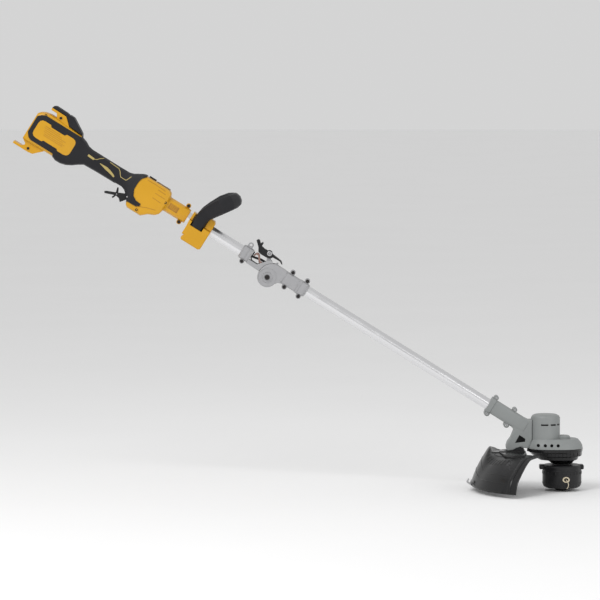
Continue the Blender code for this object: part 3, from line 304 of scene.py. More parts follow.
FINISH = {
    "yellow": moulded("yellow_shell", (0.58, 0.295, 0.008), (0.62, 0.318, 0.010),
                      (0.72, 0.40, 0.04), (0.30, 0.40), coat=0.08, gloss=0.38),
    # a darker yellow that stands in for the shade in grooves and recesses: painted shade; the rating
    # panel's lines use it too
    "painted_shade_yellow": moulded("yellow_recess_painted_shade", (0.33, 0.145, 0.008), (0.38, 0.17, 0.01),
                     (0.45, 0.22, 0.02), (0.45, 0.6)),
    "rubber": moulded("soft_overmould", (0.010, 0.010, 0.012), (0.014, 0.014, 0.017),
                      (0.03, 0.03, 0.032), (0.5, 0.6), grain=1300.0, depth=0.2, gloss=0.28),
    "black": moulded("black_moulding", (0.007, 0.007, 0.008), (0.010, 0.010, 0.011),
                     (0.03, 0.03, 0.031), (0.34, 0.44), coat=0.06, gloss=0.35),
    "guard": moulded("guard_moulding", (0.004, 0.004, 0.0045), (0.006, 0.006, 0.0065),
                     (0.022, 0.022, 0.022), (0.22, 0.32), grain=700.0, depth=0.08, coat=0.1,
                     ease=0.0016, gloss=0.4),
    # near-black matte: the motor stator's own colour, and painted shade on the sheets behind the
    # head's openings and in the eyelets' throats
    "dark": moulded("stator_and_painted_shade_dark", (0.006, 0.006, 0.007), (0.009, 0.009, 0.01),
                    (0.012, 0.012, 0.012), (0.6, 0.75)),
    "grey": moulded("grey_head_moulding", (0.235, 0.248, 0.245), (0.255, 0.268, 0.265),
                    (0.33, 0.345, 0.34), (0.42, 0.52), coat=0.08, ease=0.0018),
    "inlay": moulded("tan_grip_inlay", (0.40, 0.31, 0.10), (0.46, 0.36, 0.13),
                     (0.56, 0.47, 0.24), (0.5, 0.65), ease=0.0005),
    "cream": moulded("nylon_line", (0.56, 0.48, 0.34), (0.64, 0.56, 0.42),
                     (0.7, 0.64, 0.52), (0.35, 0.5), grain=2500.0, coat=0.1, ease=0.0004),
    "cable": moulded("cable_sleeve", (0.3, 0.17, 0.14), (0.38, 0.235, 0.2),
                     (0.44, 0.31, 0.28), (0.45, 0.6), grain=2500.0, ease=0.0004),
    "cast": metal("painted_casting", (0.34, 0.34, 0.35), (0.39, 0.39, 0.40), (0.38, 0.48),
                  along=90.0, across=90.0, metallic=0.25, depth=0.1, ease=0.0016),
    "alu": metal("drawn_aluminium", (0.72, 0.72, 0.735), (0.82, 0.82, 0.83), (0.22, 0.32)),
    "steel": metal("plated_steel", (0.42, 0.42, 0.43), (0.56, 0.56, 0.57), (0.26, 0.42)),
    "screw": metal("blackened_screw", (0.014, 0.012, 0.012), (0.03, 0.027, 0.026),
                   (0.3, 0.45), along=300.0, across=300.0, metallic=0.5),
    "copper": metal("copper_contact", (0.5, 0.22, 0.1), (0.68, 0.36, 0.18), (0.3, 0.45)),
}


# ---- mesh helpers ------------------------------------------------------------------------
def placed_mesh(name, bm, finish, body, smooth=35.0):
    """A finished piece from a bmesh: shaded, with its finish and body."""
    mesh = bpy.data.meshes.new(name)
    bmesh.ops.recalc_face_normals(bm, faces=bm.faces)
    bm.to_mesh(mesh)
    bm.free()
    mesh.materials.append(FINISH[finish])
    ob = bpy.data.objects.new(name, mesh)
    bpy.context.scene.collection.objects.link(ob)
    soften(ob, smooth)
    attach(ob, body)
    return ob


def soften(ob, angle):
    """Smooth shading that stays sharp where faces meet at more than the angle."""
    mesh = ob.data
    mesh.shade_smooth()
    weld = ob.modifiers.new("weld", "WELD")
    weld.merge_threshold = 0.00001
    split = ob.modifiers.new("split", "EDGE_SPLIT")
    split.split_angle = math.radians(angle)
    split.use_edge_sharp = False
    even = ob.modifiers.new("even", "WEIGHTED_NORMAL")
    even.mode = "FACE_AREA"
    even.weight = 60


def rings_to_bmesh(bm, rings, closed=False):
    """Skin over rings of equal point count; closed joins the last ring to the first."""
    rows = [[bm.verts.new(p) for p in ring] for ring in rings]
    count = len(rows[0])
    pairs = list(zip(rows, rows[1:])) + ([(rows[-1], rows[0])] if closed else [])
    for first, second in pairs:
        for k in range(count):
            n = (k + 1) % count
            bm.faces.new((first[k], first[n], second[n], second[k]))
    if not closed:
        bm.faces.new(rows[0])
        bm.faces.new(reversed(rows[-1]))


def prism(bm, place, outline, y0, y1):
    """An outline carried straight across the tool; place is on_shaft or on_head."""
    rings_to_bmesh(bm, [[place(a, y, b) for a, b in outline] for y in (y0, y1)])


def round_cord(name, points, radius, finish, body):
    """A wire, cable or line through points in millimetres, with filled ends."""
    data = bpy.data.curves.new(name, "CURVE")
    data.dimensions = "3D"
    spline = data.splines.new("POLY")
    spline.points.add(len(points) - 1)
    for point, place in zip(spline.points, points):
        point.co = (*(place * MM), 1.0)
    data.bevel_depth = radius * MM
    data.bevel_resolution = 3
    data.use_fill_caps = True
    data.materials.append(FINISH[finish])
    ob = bpy.data.objects.new(name, data)
    bpy.context.scene.collection.objects.link(ob)
    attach(ob, body)
    return ob


def frame_along(direction):
    """Two unit vectors square to a direction and to each other."""
    ahead = Vector(direction).normalized()
    side = Vector((0, 1, 0)) if abs(ahead.y) < 0.9 else Vector((1, 0, 0))
    first = side.cross(ahead).normalized()
    return first, ahead.cross(first).normalized()


def turned_rings(centre, direction, profile, sides=32):
    """Rings of a turned shape; the profile is (distance along, radius) in millimetres."""
    a, b = frame_along(direction)
    ahead = Vector(direction).normalized()
    rings = []
    for along, radius in profile:
        ring = []
        for k in range(sides):
            turn = math.tau * k / sides
            ring.append(centre + ahead * (along * MM)
                        + (a * math.cos(turn) + b * math.sin(turn)) * (radius * MM))
        rings.append(ring)
    return rings


def smooth_route(points, step):
    """Catmull-Rom points about a step apart along a route, as the CAD's own."""
    pts = [Vector(p) for p in points]
    out = []
    for k in range(len(pts) - 1):
        p1, p2 = pts[k], pts[k + 1]
        p0 = pts[k - 1] if k else p1 * 2 - p2
        p3 = pts[k + 2] if k + 2 < len(pts) else p2 * 2 - p1
        count = max(2, int(round((p2 - p1).length / step)))
        for i in range(count):
            t = i / count
            out.append(0.5 * ((2 * p1) + (p2 - p0) * t
                              + (2 * p0 - 5 * p1 + 4 * p2 - p3) * t * t
                              + (3 * p1 - p0 - 3 * p2 + p3) * t ** 3))
    out.append(pts[-1])
    return out


# ---- the line tails ------------------------------------------------------------------------
LINE_RADIUS = 1.0
LINE_ROUTE = [(7, -47.6, 31), (7.2, -51, 30.8), (8.8, -54.6, 28.8), (11.2, -56.6, 24.5),
              (12.4, -56.8, 19), (11.2, -55.8, 13.5), (8.6, -54.6, 9)]


def build_line_tails():
    """The two free ends of the cutting line, each out of its eyelet."""
    for side, turn in (("near", 1), ("far", -1)):
        route = smooth_route([(x * turn, y * turn, z) for x, y, z in LINE_ROUTE], 1.2)
        tail = round_cord("line_tail_" + side, route, LINE_RADIUS, "cream", "spool_head")
        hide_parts("trimmer_line_" + side)


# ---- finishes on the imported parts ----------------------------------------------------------
NODE_FINISH = {
    "yellow": ["rear_housing_near", "rear_housing_far", "label_plate_near", "label_plate_far",
               "handle_bracket", "handle_cap"],
    "rubber": ["grip_overmould_near", "grip_overmould_far", "top_bumper", "handle_grip"],
    "black": ["battery_terminal_block", "control_module", "trigger_switch", "trigger",
              "lock_off_lever", "speed_slider", "latch_lever", "spool_housing", "spool_cup",
              "bump_knob", "line_spool", "upper_harness", "lower_harness"],
    "guard": ["guard", "base_cover"],
    "grey": ["head_housing_near", "head_housing_far"],
    "cast": ["upper_casting_near", "upper_casting_far", "lower_casting_near",
             "lower_casting_far"],
    "alu": ["upper_tube", "lower_tube"],
    "steel": ["hinge_nut", "latch_pin", "latch_spring", "trigger_pin", "lock_off_pin",
              "spindle", "knob_spring", "spindle_bearing", "motor_bearing", "motor_rotor",
              "cutoff_blade", "handle_bolt_near", "handle_bolt_far"],
    "screw": ["hinge_bolt", "upper_casting_screw", "lower_casting_screw_1",
              "lower_casting_screw_2", "lower_casting_screw_3", "lower_casting_screw_4"],
    "copper": ["battery_contact_near", "battery_contact_far"],
    "dark": ["motor_stator"],
    "cream": ["eyelet_near", "eyelet_far", "drive_gear"],
}


def finish_parts():
    """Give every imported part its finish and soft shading."""
    for finish, names in NODE_FINISH.items():
        for name in names:
            ob = NODES[name]
            ob.data.materials.clear()
            ob.data.materials.append(FINISH[finish])
            soften(ob, 32.0)


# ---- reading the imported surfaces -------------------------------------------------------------
class Skin:
    """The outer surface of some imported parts, to lay fine pieces on."""

    def __init__(self, *names):
        verts, faces = [], []
        for name in names:
            mesh = NODES[name].data
            base = len(verts)
            verts += [v.co.copy() for v in mesh.vertices]
            faces += [[base + i for i in p.vertices] for p in mesh.polygons]
        self.tree = BVHTree.FromPolygons(verts, faces)

    def hit(self, start, direction):
        """Where a ray first meets the skin: its point and normal, or None."""
        place, normal, _, _ = self.tree.ray_cast(Vector(start), Vector(direction).normalized())
        if place is None:
            return None
        if normal.dot(Vector(direction)) > 0:
            normal = -normal
        return place, normal

    def side(self, u, v, near=True):
        """The skin at a shaft place, seen square on from one side."""
        reach = -200.0 if near else 200.0
        return self.hit(on_shaft(u, reach, v), (0, -reach, 0))


SHELL = Skin("rear_housing_near", "rear_housing_far", "grip_overmould_near",
             "grip_overmould_far", "label_plate_near", "label_plate_far", "top_bumper")
RIBBON_CROSS = [(-0.5, -0.6), (-0.5, 0.45), (-0.36, 0.9), (-0.12, 1.0), (0.12, 1.0),
                (0.36, 0.9), (0.5, 0.45), (0.5, -0.6)]


def dense_path(path, widths, step):
    """A (u, v) path with its widths, filled in to about a step apart."""
    places, wide = [], []
    for k in range(len(path) - 1):
        (u0, v0), (u1, v1) = path[k], path[k + 1]
        count = max(1, int(math.hypot(u1 - u0, v1 - v0) / step))
        for i in range(count):
            t = i / count
            places.append((u0 + (u1 - u0) * t, v0 + (v1 - v0) * t))
            wide.append(widths[k] + (widths[k + 1] - widths[k]) * t)
    places.append(path[-1])
    wide.append(widths[-1])
    return places, wide


def ribbon(bm, skin, path, width, rise, near=True, step=2.0, cross=None):
    """A low raised strip that lies on a skin along a shaft (u, v) path."""
    widths = [width] * len(path) if isinstance(width, (int, float)) else width
    places, wide = dense_path(path, widths, step)
    out = NEAR if near else FAR
    rings = []
    for k, (u, v) in enumerate(places):
        before, after = places[max(0, k - 1)], places[min(len(places) - 1, k + 1)]
        du, dv = after[0] - before[0], after[1] - before[1]
        span = math.hypot(du, dv) or 1.0
        ring = []
        for across, up in (cross or RIBBON_CROSS):
            offset = across * wide[k]
            found = skin.side(u - dv / span * offset, v + du / span * offset, near)
            if found is None:
                break
            level = up * rise if up > 0 else up
            ring.append(found[0] + out * (level * MM))
        if len(ring) == len(cross or RIBBON_CROSS):
            rings.append(ring)
    if len(rings) > 1:
        rings_to_bmesh(bm, rings)


def flat_cross(count=8):
    """The cross section of a wide, flat-topped strip with softened edges."""
    tops = [(-0.5 + k / (count - 1), 1.0) for k in range(1, count - 1)]
    return [(-0.5, -0.6), (-0.5, 0.55)] + tops + [(0.5, 0.55), (0.5, -0.6)]


def star_screw(bm, centre, out, radius, proud=1.2):
    """A round screw head with a six-lobed driver socket."""
    sides = 36
    a, b = frame_along(out)
    out = Vector(out).normalized()
    profile = [(-0.8, 1.0, 0), (proud * 0.45, 1.0, 0), (proud * 0.85, 0.9, 0),
               (proud, 0.74, 0), (proud, 0.56, 1), (proud - 0.2, 0.5, 1), (0.15, 0.46, 1)]
    rings = []
    for height, share, lobed in profile:
        ring = []
        for k in range(sides):
            turn = math.tau * k / sides
            size = radius * share * (1 - 0.17 * lobed * (1 + math.cos(6 * turn)) / 2)
            ring.append(centre + out * (height * MM)
                        + (a * math.cos(turn) + b * math.sin(turn)) * (size * MM))
        rings.append(ring)
    rings_to_bmesh(bm, rings)


def ring_band(bm, centre, out, profile, sides=40):
    """A turned ring: the profile is a closed loop of (height, radius)."""
    rings = turned_rings(centre, out, profile, sides)
    rings_to_bmesh(bm, rings, closed=True)


BAR_CROSS = [(-1, -0.5), (-1, 0.5), (-0.75, 0.85), (-0.3, 1.0), (0.3, 1.0), (0.75, 0.85),
             (1, 0.5), (1, -0.5)]
SUNK = -0.4                      # how far a rib's foot goes into its surface


def round_bar(bm, start, end, half_width, height, out):
    """A low rib with a rounded top and sloped ends, standing on a surface."""
    start, end, out = Vector(start), Vector(end), Vector(out).normalized()
    ahead = (end - start).normalized()
    side = ahead.cross(out).normalized()
    rings = []
    length = (end - start).length
    lead = min(height * MM, length * 0.3)
    for place, lift in ((0.0, 0.15), (lead * 0.5, 0.8), (lead, 1.0),
                        (length - lead, 1.0), (length - lead * 0.5, 0.8), (length, 0.15)):
        ring = []
        for across, up in BAR_CROSS:
            level = up * height * lift if up > 0 else SUNK
            ring.append(start + ahead * place + side * (across * half_width * MM)
                        + out * (level * MM))
        rings.append(ring)
    rings_to_bmesh(bm, rings)


# ---- rear housing: inlays, screws, lines ----------------------------------------------------
SHELL_SCREWS = [(-646.0, 43.0, 3.2), (-676.0, -64.0, 3.2), (-367.0, -51.0, 3.2),
                (-315.0, 2.0, 3.2), (-681.0, 31.0, 2.0)]
GRIP_LINES = [
    [(-541, 0.5), (-523, -0.5)],
    [(-523, -0.5), (-516, 3), (-510, 10), (-506, 12), (-503, 15)],
    [(-485, 14), (-458, 12.5), (-452, 8), (-447, 1), (-443, -3), (-428, -3), (-424, 5),
     (-421, 12)],
]
GRIP_LINE_WIDTH = [5.5, 1.6, 1.7]
WEDGE = [(-505, -1.5), (-496, -2.5), (-486, -3.5), (-474, -6), (-464, -9), (-458, -12)]
WEDGE_WIDTH = [1.5, 4.0, 7.5, 7.0, 5.5, 4.0]


def build_grip_inlays():
    """Tan lines and a wedge let into the grip, on both sides."""
    for near in (True, False):
        side = "near" if near else "far"
        bm = bmesh.new()
        for path, width in zip(GRIP_LINES, GRIP_LINE_WIDTH):
            ribbon(bm, SHELL, path, width, 0.7, near)
        placed_mesh("grip_inlay_lines_" + side, bm, "inlay", "root")
        bm = bmesh.new()
        ribbon(bm, SHELL, WEDGE, WEDGE_WIDTH, 0.8, near, cross=flat_cross())
        placed_mesh("grip_inlay_wedge_" + side, bm, "inlay", "root")


def build_shell_screws():
    """The housing screws, each in a round boss that stands a little off the shell."""
    for near in (True, False):
        side = "near" if near else "far"
        out = NEAR if near else FAR
        heads, wells = bmesh.new(), bmesh.new()
        for u, v, r in SHELL_SCREWS:
            around = [SHELL.side(u + du * r, v + dv * r, near)
                      for du, dv in ((0, 0), (1.3, 0), (-1.3, 0), (0, 1.3), (0, -1.3))]
            reach = [abs(found[0].y) / MM for found in around if found]
            if not reach:
                continue
            seat = sorted(reach)[len(reach) // 2]
            centre = on_shaft(u, 0, v) + out * (seat * MM)
            ring_band(wells, centre, out, [(-3.0, r + 2.2), (0.2, r + 2.0), (0.7, r + 1.6),
                                           (0.7, r + 0.7), (0.2, r + 0.3), (-3.0, r + 0.2)])
            star_screw(heads, centre - out * (0.7 * MM), out, r + 0.4, proud=1.2)
        placed_mesh("shell_screw_bosses_" + side, wells, "yellow", "root")
        placed_mesh("shell_screws_" + side, heads, "screw", "root")


LABEL_RIBS = [(-667, -625, 1.0), (-667, -618, -3.5), (-664, -604, -8.0), (-664, -610, -12.5),
              (-660, -602, -17.0), (-660, -606, -21.0)]
FRONT_GROOVES = [[(-382, 27), (-360, 27.5), (-330, 26.5)], [(-347, 20), (-325, 19)],
                 [(-349, 9), (-321, 8.5)], [(-349, -4), (-325, -5)],
                 [(-372, -43), (-345, -32), (-326, -27)]]


def build_shell_lines():
    """Fine moulded lines of the blank rating panel and of the front body, and the neck panel. The
    front body's lines and the neck panel are darker yellow: painted shade of grooves and a recess;
    the rating panel's lines share that darker yellow.
    """
    for near in (True, False):
        side = "near" if near else "far"
        bm = bmesh.new()
        for start, end, v in LABEL_RIBS:
            ribbon(bm, SHELL, [(start, v + 6), (end, v + 6)], 1.1, 0.3, near, step=3.0)
        placed_mesh("rating_panel_lines_" + side, bm, "painted_shade_yellow", "root")
        bm = bmesh.new()
        # darker yellow strips along the front body's grooves: painted shade
        for path in FRONT_GROOVES:
            ribbon(bm, SHELL, path, 1.3, 0.25, near)
        placed_mesh("front_body_painted_shade_lines_" + side, bm, "painted_shade_yellow", "root")
        bm = bmesh.new()
        # a darker yellow panel: painted shade in the neck panel's recess
        ribbon(bm, SHELL, [(-304, 1), (-278, 1)], 15.0, 0.35, near, cross=flat_cross(10))
        placed_mesh("neck_panel_" + side, bm, "painted_shade_yellow", "root")
        bm = bmesh.new()
        for v in (6.5, 3.5, 0.5, -2.5):
            ribbon(bm, SHELL, [(-301, v), (-281, v)], 0.9, 0.75, near)
        placed_mesh("neck_panel_lines_" + side, bm, "yellow", "root")


def top_of(skin, u, y):
    """The skin right above a shaft place."""
    return skin.hit(on_shaft(u, y, 140.0), -UP)


TEETH_START, TOOTH_PITCH, TOOTH_COUNT, TOOTH_REACH = -668.6, 4.2, 9, 20.0
TRIM_START, TRIM_LENGTH, TRIM_STEPS = -360.0, 38.0, 25
TRIM_CROSS = [(-1.6, -0.5), (-1.6, 0.5), (-0.8, 0.9), (0.8, 0.9), (1.6, 0.5), (1.6, -0.5)]


def build_top_trims():
    """Anti-slip teeth on the back bumper and a dark trim over the front body."""
    bm = bmesh.new()
    for k in range(TOOTH_COUNT):
        u = TEETH_START + TOOTH_PITCH * k
        left, right = top_of(SHELL, u, -TOOTH_REACH), top_of(SHELL, u, TOOTH_REACH)
        if left and right:
            round_bar(bm, left[0], right[0], 1.3, 1.2, UP)
    placed_mesh("bumper_teeth", bm, "rubber", "root")
    bm = bmesh.new()
    for y in (-17.0, 17.0):
        rings = []
        for k in range(TRIM_STEPS + 1):
            u = TRIM_START + TRIM_LENGTH * k / TRIM_STEPS
            ring = []
            for across, lift in TRIM_CROSS:
                found = top_of(SHELL, u, y + across)
                if found is None:
                    break
                ring.append(found[0] + UP * (lift * MM))
            if len(ring) == len(TRIM_CROSS):
                rings.append(ring)
        if len(rings) > 1:
            rings_to_bmesh(bm, rings)
    placed_mesh("front_top_trims", bm, "rubber", "root")


NECK_SCREWS = [(-262.0, 25.0), (-262.0, -22.0)]
NECK_SCREW_R, NECK_BOSS_R, NECK_BOSS_TALL = 4.3, 6.1, 7.0


def build_neck_clamp():
    """The clamp bosses at the front of the rear housing, with their dark screws."""
    bosses, heads = bmesh.new(), bmesh.new()
    r, tall = NECK_BOSS_R, NECK_BOSS_TALL
    profile = [(0.0, r), (tall - 1.2, r), (tall - 0.4, r - 0.5), (tall, r - 1.4)]
    for u, v in NECK_SCREWS:
        for out in (NEAR, FAR):
            centre = on_shaft(u, 0, v)
            rings_to_bmesh(bosses, turned_rings(centre, out, profile))
            star_screw(heads, centre + out * (tall * MM), out, NECK_SCREW_R, proud=1.8)
    placed_mesh("neck_clamp_bosses", bosses, "yellow", "root")
    placed_mesh("neck_clamp_screws", heads, "screw", "root")


# ---- stage -----------------------------------------------------------------------------------
FLOOR_HALF = 40.0
FLOOR_GAP = 0.0005               # under the tool's lowest point
WORLD_LEVEL = 0.66
KEY_WATTS, FILL_WATTS = 75.0, 24.0
KEY_PLACE, FILL_PLACE = (-2.4, -2.6, 3.4), (2.2, -3.2, 1.2)
LAMP_TARGET = (-0.65, 0.0, 0.4)


def build_stage():
    """A wide pale floor that runs off into the pale surroundings on every side."""
    half, level = FLOOR_HALF, CAD_BOX[0].z - FLOOR_GAP
    bm = bmesh.new()
    corners = [(-half, -half), (half, -half), (half, half), (-half, half)]
    bm.faces.new([bm.verts.new((x + AIM.x, y, level)) for x, y in corners])
    mesh = bpy.data.meshes.new("studio_floor")
    bm.to_mesh(mesh)
    bm.free()
    mat, tree, bsdf = start_material("studio_paper")
    grains = placed(tree, GRAIN, Scale=40.0, Drift=1.5)
    tree.links.new(mixed(tree, grains.outputs["Tone"], (0.955, 0.955, 0.955),
                         (0.965, 0.965, 0.965)), bsdf.inputs["Base Color"])
    bsdf.inputs["Roughness"].default_value = 0.9
    mesh.materials.append(mat)
    mesh.shade_smooth()
    floor = bpy.data.objects.new("studio_floor", mesh)
    bpy.context.scene.collection.objects.link(floor)


def lamp(name, place, size, watts):
    """A soft rectangular lamp that faces the tool."""
    data = bpy.data.lights.new(name, "AREA")
    data.shape = "RECTANGLE"
    data.size, data.size_y = size
    data.energy = watts
    ob = bpy.data.objects.new(name, data)
    bpy.context.scene.collection.objects.link(ob)
    ob.location = place
    aim = Vector(LAMP_TARGET) - Vector(place)
    ob.rotation_euler = aim.to_track_quat("-Z", "Y").to_euler()


def build_lights():
    """Even pale surroundings, which the floor runs off into, and two soft lamps."""
    world = bpy.data.worlds.new("studio")
    world.use_nodes = True
    background = world.node_tree.nodes["Background"]
    background.inputs["Color"].default_value = (1.0, 1.0, 1.0, 1.0)
    background.inputs["Strength"].default_value = WORLD_LEVEL
    bpy.context.scene.world = world
    lamp("key_lamp", KEY_PLACE, (1.8, 1.8), KEY_WATTS)
    lamp("fill_lamp", FILL_PLACE, (2.4, 1.8), FILL_WATTS)


# ---- hinge and latch ---------------------------------------------------------------------------
UPPER_CAST = Skin("upper_casting_near", "upper_casting_far")
LOWER_CAST = Skin("lower_casting_near", "lower_casting_far")


def build_hinge_details():
    """Rings round the fold and low ridges over both castings, on both sides."""
    lower, upper = bmesh.new(), bmesh.new()
    for near in (True, False):
        out = NEAR if near else FAR
        found = LOWER_CAST.side(FOLD_U - 18.0, FOLD_V, near)
        centre = on_shaft(FOLD_U, 0, FOLD_V)
        centre.y = found[0].y
        for radius, wide, tall in ((23.2, 1.5, 0.7), (13.6, 1.2, 0.9)):
            ring_band(lower, centre, out, [(-0.6, radius - wide), (tall * 0.6, radius - wide),
                                           (tall, radius - wide * 0.4), (tall, radius + 0.2),
                                           (tall * 0.4, radius + wide * 0.5),
                                           (-0.6, radius + wide * 0.5)], 64)
        for u, wide in ((73.0, 1.6), (79.5, 1.2), (96.0, 2.4)):
            ribbon(lower, LOWER_CAST, [(u, -14.5), (u, 14.5)], wide, 0.8, near)
        for u, wide in ((-89.0, 1.8), (-76.0, 1.4), (-67.0, 1.8)):
            ribbon(upper, UPPER_CAST, [(u, -14.0), (u, 16.0)], wide, 0.8, near)
        ribbon(lower, LOWER_CAST, [(27.0, -13.6), (34.0, -13.0)], 1.6, 0.6, near)
        ribbon(lower, LOWER_CAST, [(34.0, -13.0), (36.0, 13.0)], 1.6, 0.6, near)
    placed_mesh("lower_casting_ridges", lower, "cast", "lower_shaft")
    placed_mesh("upper_casting_ridges", upper, "cast", "root")


def casting_screw_face(bm, name):
    """A screw head with its socket, over the near end of a packed screw."""
    low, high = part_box(name)
    middle = (low + high) / 2
    middle.y = low.y
    star_screw(bm, middle, NEAR, 4.2, proud=1.0)


def build_hinge_screw_faces():
    """The heads of the hinge bolt and of the castings' screws."""
    centre = on_shaft(FOLD_U, 0, FOLD_V)
    centre.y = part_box("hinge_bolt")[0].y
    bm = bmesh.new()
    star_screw(bm, centre, NEAR, 5.6)
    placed_mesh("hinge_bolt_face", bm, "screw", "root")
    bm = bmesh.new()
    for n in range(1, 5):
        casting_screw_face(bm, "lower_casting_screw_%d" % n)
    placed_mesh("lower_casting_screw_faces", bm, "screw", "lower_shaft")
    bm = bmesh.new()
    casting_screw_face(bm, "upper_casting_screw")
    placed_mesh("upper_casting_screw_face", bm, "screw", "root")


LATCH_U, LATCH_V, LATCH_HALF_WIDTH = -28.0, 31.0, 12.0


def build_latch_details():
    """Steel rings round the two ends of the latch's pin."""
    bm = bmesh.new()
    for out in (NEAR, FAR):
        centre = on_shaft(LATCH_U, LATCH_HALF_WIDTH * out.y, LATCH_V)
        ring_band(bm, centre, out, [(-0.5, 3.2), (0.9, 3.2), (1.2, 3.8), (1.2, 5.4),
                                    (0.7, 6.2), (-0.5, 6.2)], 36)
    placed_mesh("latch_pin_rings", bm, "steel", "root")


# ---- head ----------------------------------------------------------------------------------------
NECK_BOSSES = [(645.0, 25.0, 3.6), (700.0, 24.0, 3.6), (645.0, -20.0, 4.4),
               (702.0, -19.0, 4.4)]
HEAD_SHELL = Skin("head_housing_near", "head_housing_far")
COVER = Skin("base_cover")
CUP = Skin("spool_cup")


def build_neck_boss_screws():
    """Rims and screws in the bosses of the head's neck, on both sides."""
    heads, seats = bmesh.new(), bmesh.new()
    for u, v, radius in NECK_BOSSES:
        for near in (True, False):
            out = NEAR if near else FAR
            found = HEAD_SHELL.side(u, v, near)
            if found is None:
                continue
            centre = on_shaft(u, 0, v)
            centre.y = found[0].y
            ring_band(seats, centre, out, [(-0.5, radius - 0.4), (0.6, radius - 0.4),
                                           (0.9, radius + 0.2), (0.6, radius + 1.1),
                                           (-0.5, radius + 1.3)], 32)
            star_screw(heads, centre - out * (0.6 * MM), out, radius - 0.7, proud=0.9)
    placed_mesh("neck_boss_rims", seats, "grey", "lower_shaft")
    placed_mesh("neck_boss_screws", heads, "steel", "lower_shaft")


def build_cover_ribs():
    """Upright ribs round the black cover under the head."""
    bm = bmesh.new()
    for near in (True, False):
        way = FAR if near else NEAR
        for k in range(11):
            x = -58.0 + 9.5 * k
            hits = []
            for z in (101.0, 95.0, 89.0, 84.0):
                found = COVER.hit(on_head(x, -200 if near else 200, z), way)
                if found:
                    hits.append(found)
            for (p0, n0), (p1, n1) in zip(hits, hits[1:]):
                if abs(p0.y - p1.y) < 6 * MM:
                    round_bar(bm, p0, p1, 0.9, 1.1, (n0 + n1))
    placed_mesh("base_cover_ribs", bm, "guard", "lower_shaft")


CUP_RIBS = 30
CUP_RIB_BANDS = ((13.0, 22.0), (41.0, 49.0))


def build_cup_ribs():
    """Finger ribs round the spool cup, in a low band and a high one."""
    bm = bmesh.new()
    for k in range(CUP_RIBS):
        turn = math.tau * (k + 0.5) / CUP_RIBS
        out = Vector((math.cos(turn), math.sin(turn), 0))
        for band in CUP_RIB_BANDS:
            hits = [CUP.hit(Vector((0, 0, z * MM)) + out * 0.2, -out) for z in band]
            if all(hits):
                round_bar(bm, hits[0][0], hits[1][0], 1.5, 0.9, out)
    placed_mesh("spool_cup_ribs", bm, "black", "spool_head")


GUARD = [
    (56.0, [(112, 96), (140, 94.5), (160, 91), (181, 77), (206, 54), (221, 36), (229, 10)]),
    (46.0, [(112, 96), (140, 94.5), (162, 91), (183, 77), (206, 56), (221, 36), (229, 10)]),
    (35.0, [(114, 95.5), (140, 94.5), (165, 90), (186, 78), (207, 57), (221, 36), (229, 10)]),
    (26.0, [(114, 95), (142, 94.5), (166, 89), (190, 76), (208, 56), (221, 36), (229, 11)]),
    (17.0, [(114, 95), (146, 94.5), (172, 88), (191, 76), (206, 60), (220, 37), (229, 12)]),
    (8.0, [(114, 95), (152, 94.5), (176, 92), (191, 90), (203, 73), (218, 46), (229, 13)]),
    (-2.0, [(114, 95), (158, 94.5), (173, 97), (181, 107), (197, 85), (215, 52), (230, 14)]),
    (-14.0, [(116, 95), (158, 94.5), (175, 97), (184, 105), (198, 85), (216, 52), (230, 14)]),
    (-26.0, [(120, 95), (158, 93.5), (173, 93), (182, 97), (197, 80), (216, 50), (230, 14)]),
    (-34.0, [(124, 94), (160, 92), (176, 89), (186, 87), (200, 73), (217, 47), (229, 14)]),
]
GUARD_WALL, RIM_EXTRA = 3.0, 1.1
GUARD_STEPS = 5                  # fine steps between two points of the table
RIB_SUNK = -0.8


def between(p0, p1, p2, p3, t):
    """A point on a smooth curve from p1 to p2, with its neighbours either side."""
    return 0.5 * (2 * p1 + (p2 - p0) * t + (2 * p0 - 5 * p1 + 4 * p2 - p3) * t * t
                  + (3 * p1 - p0 - 3 * p2 + p3) * t ** 3)


def finer(rows, count):
    """Rows of vectors with count steps between each two, smoothly."""
    out = []
    for k in range(len(rows) - 1):
        row0, row1 = rows[max(0, k - 1)], rows[k]
        row2, row3 = rows[k + 1], rows[min(len(rows) - 1, k + 2)]
        for i in range(count):
            out.append([between(a, b, c, d, i / count)
                        for a, b, c, d in zip(row0, row1, row2, row3)])
    out.append(rows[-1])
    return out


def guard_sections():
    """Fine sections of the guard: each a list of (angle, radius, height)."""
    rows = [[Vector((angle, r, z)) for r, z in profile] for angle, profile in GUARD]
    fine = finer(rows, GUARD_STEPS)
    return [[p[0] for p in finer([[q] for q in row], GUARD_STEPS)] for row in fine]


def guard_place(point):
    """Where an (angle, radius, height) point of the guard lies."""
    turn, r = math.radians(point.x), point.y
    return Vector((-r * math.cos(turn), -r * math.sin(turn), point.z)) * MM


def section_normal(row, k):
    """Outward direction of a section, in (radius, height)."""
    before, after = row[max(0, k - 1)], row[min(len(row) - 1, k + 1)]
    dr, dz = after.y - before.y, after.z - before.z
    span = math.hypot(dr, dz) or 1.0
    return -dz / span, dr / span


def lifted(row, k, amount):
    """A section's point moved out along its normal."""
    nr, nz = section_normal(row, k)
    return Vector((row[k].x, row[k].y + nr * amount, row[k].z + nz * amount))


def build_guard_shell():
    """The guard's moulded skirt, in fine sections with a thickened, rounded border."""
    sections = guard_sections()
    rings = []
    last = len(sections) - 1
    for s_index, row in enumerate(sections):
        edge = min(s_index, last - s_index)
        outer, inner = [], []
        for k in range(len(row)):
            rim = min(edge, len(row) - 1 - k)
            extra = RIM_EXTRA if rim < 2 else 0.0
            outer.append(guard_place(row[k]))
            inner.append(guard_place(lifted(row, k, -GUARD_WALL - extra)))
        rings.append(outer + inner[::-1])
    bm = bmesh.new()
    rings_to_bmesh(bm, rings)
    return bm


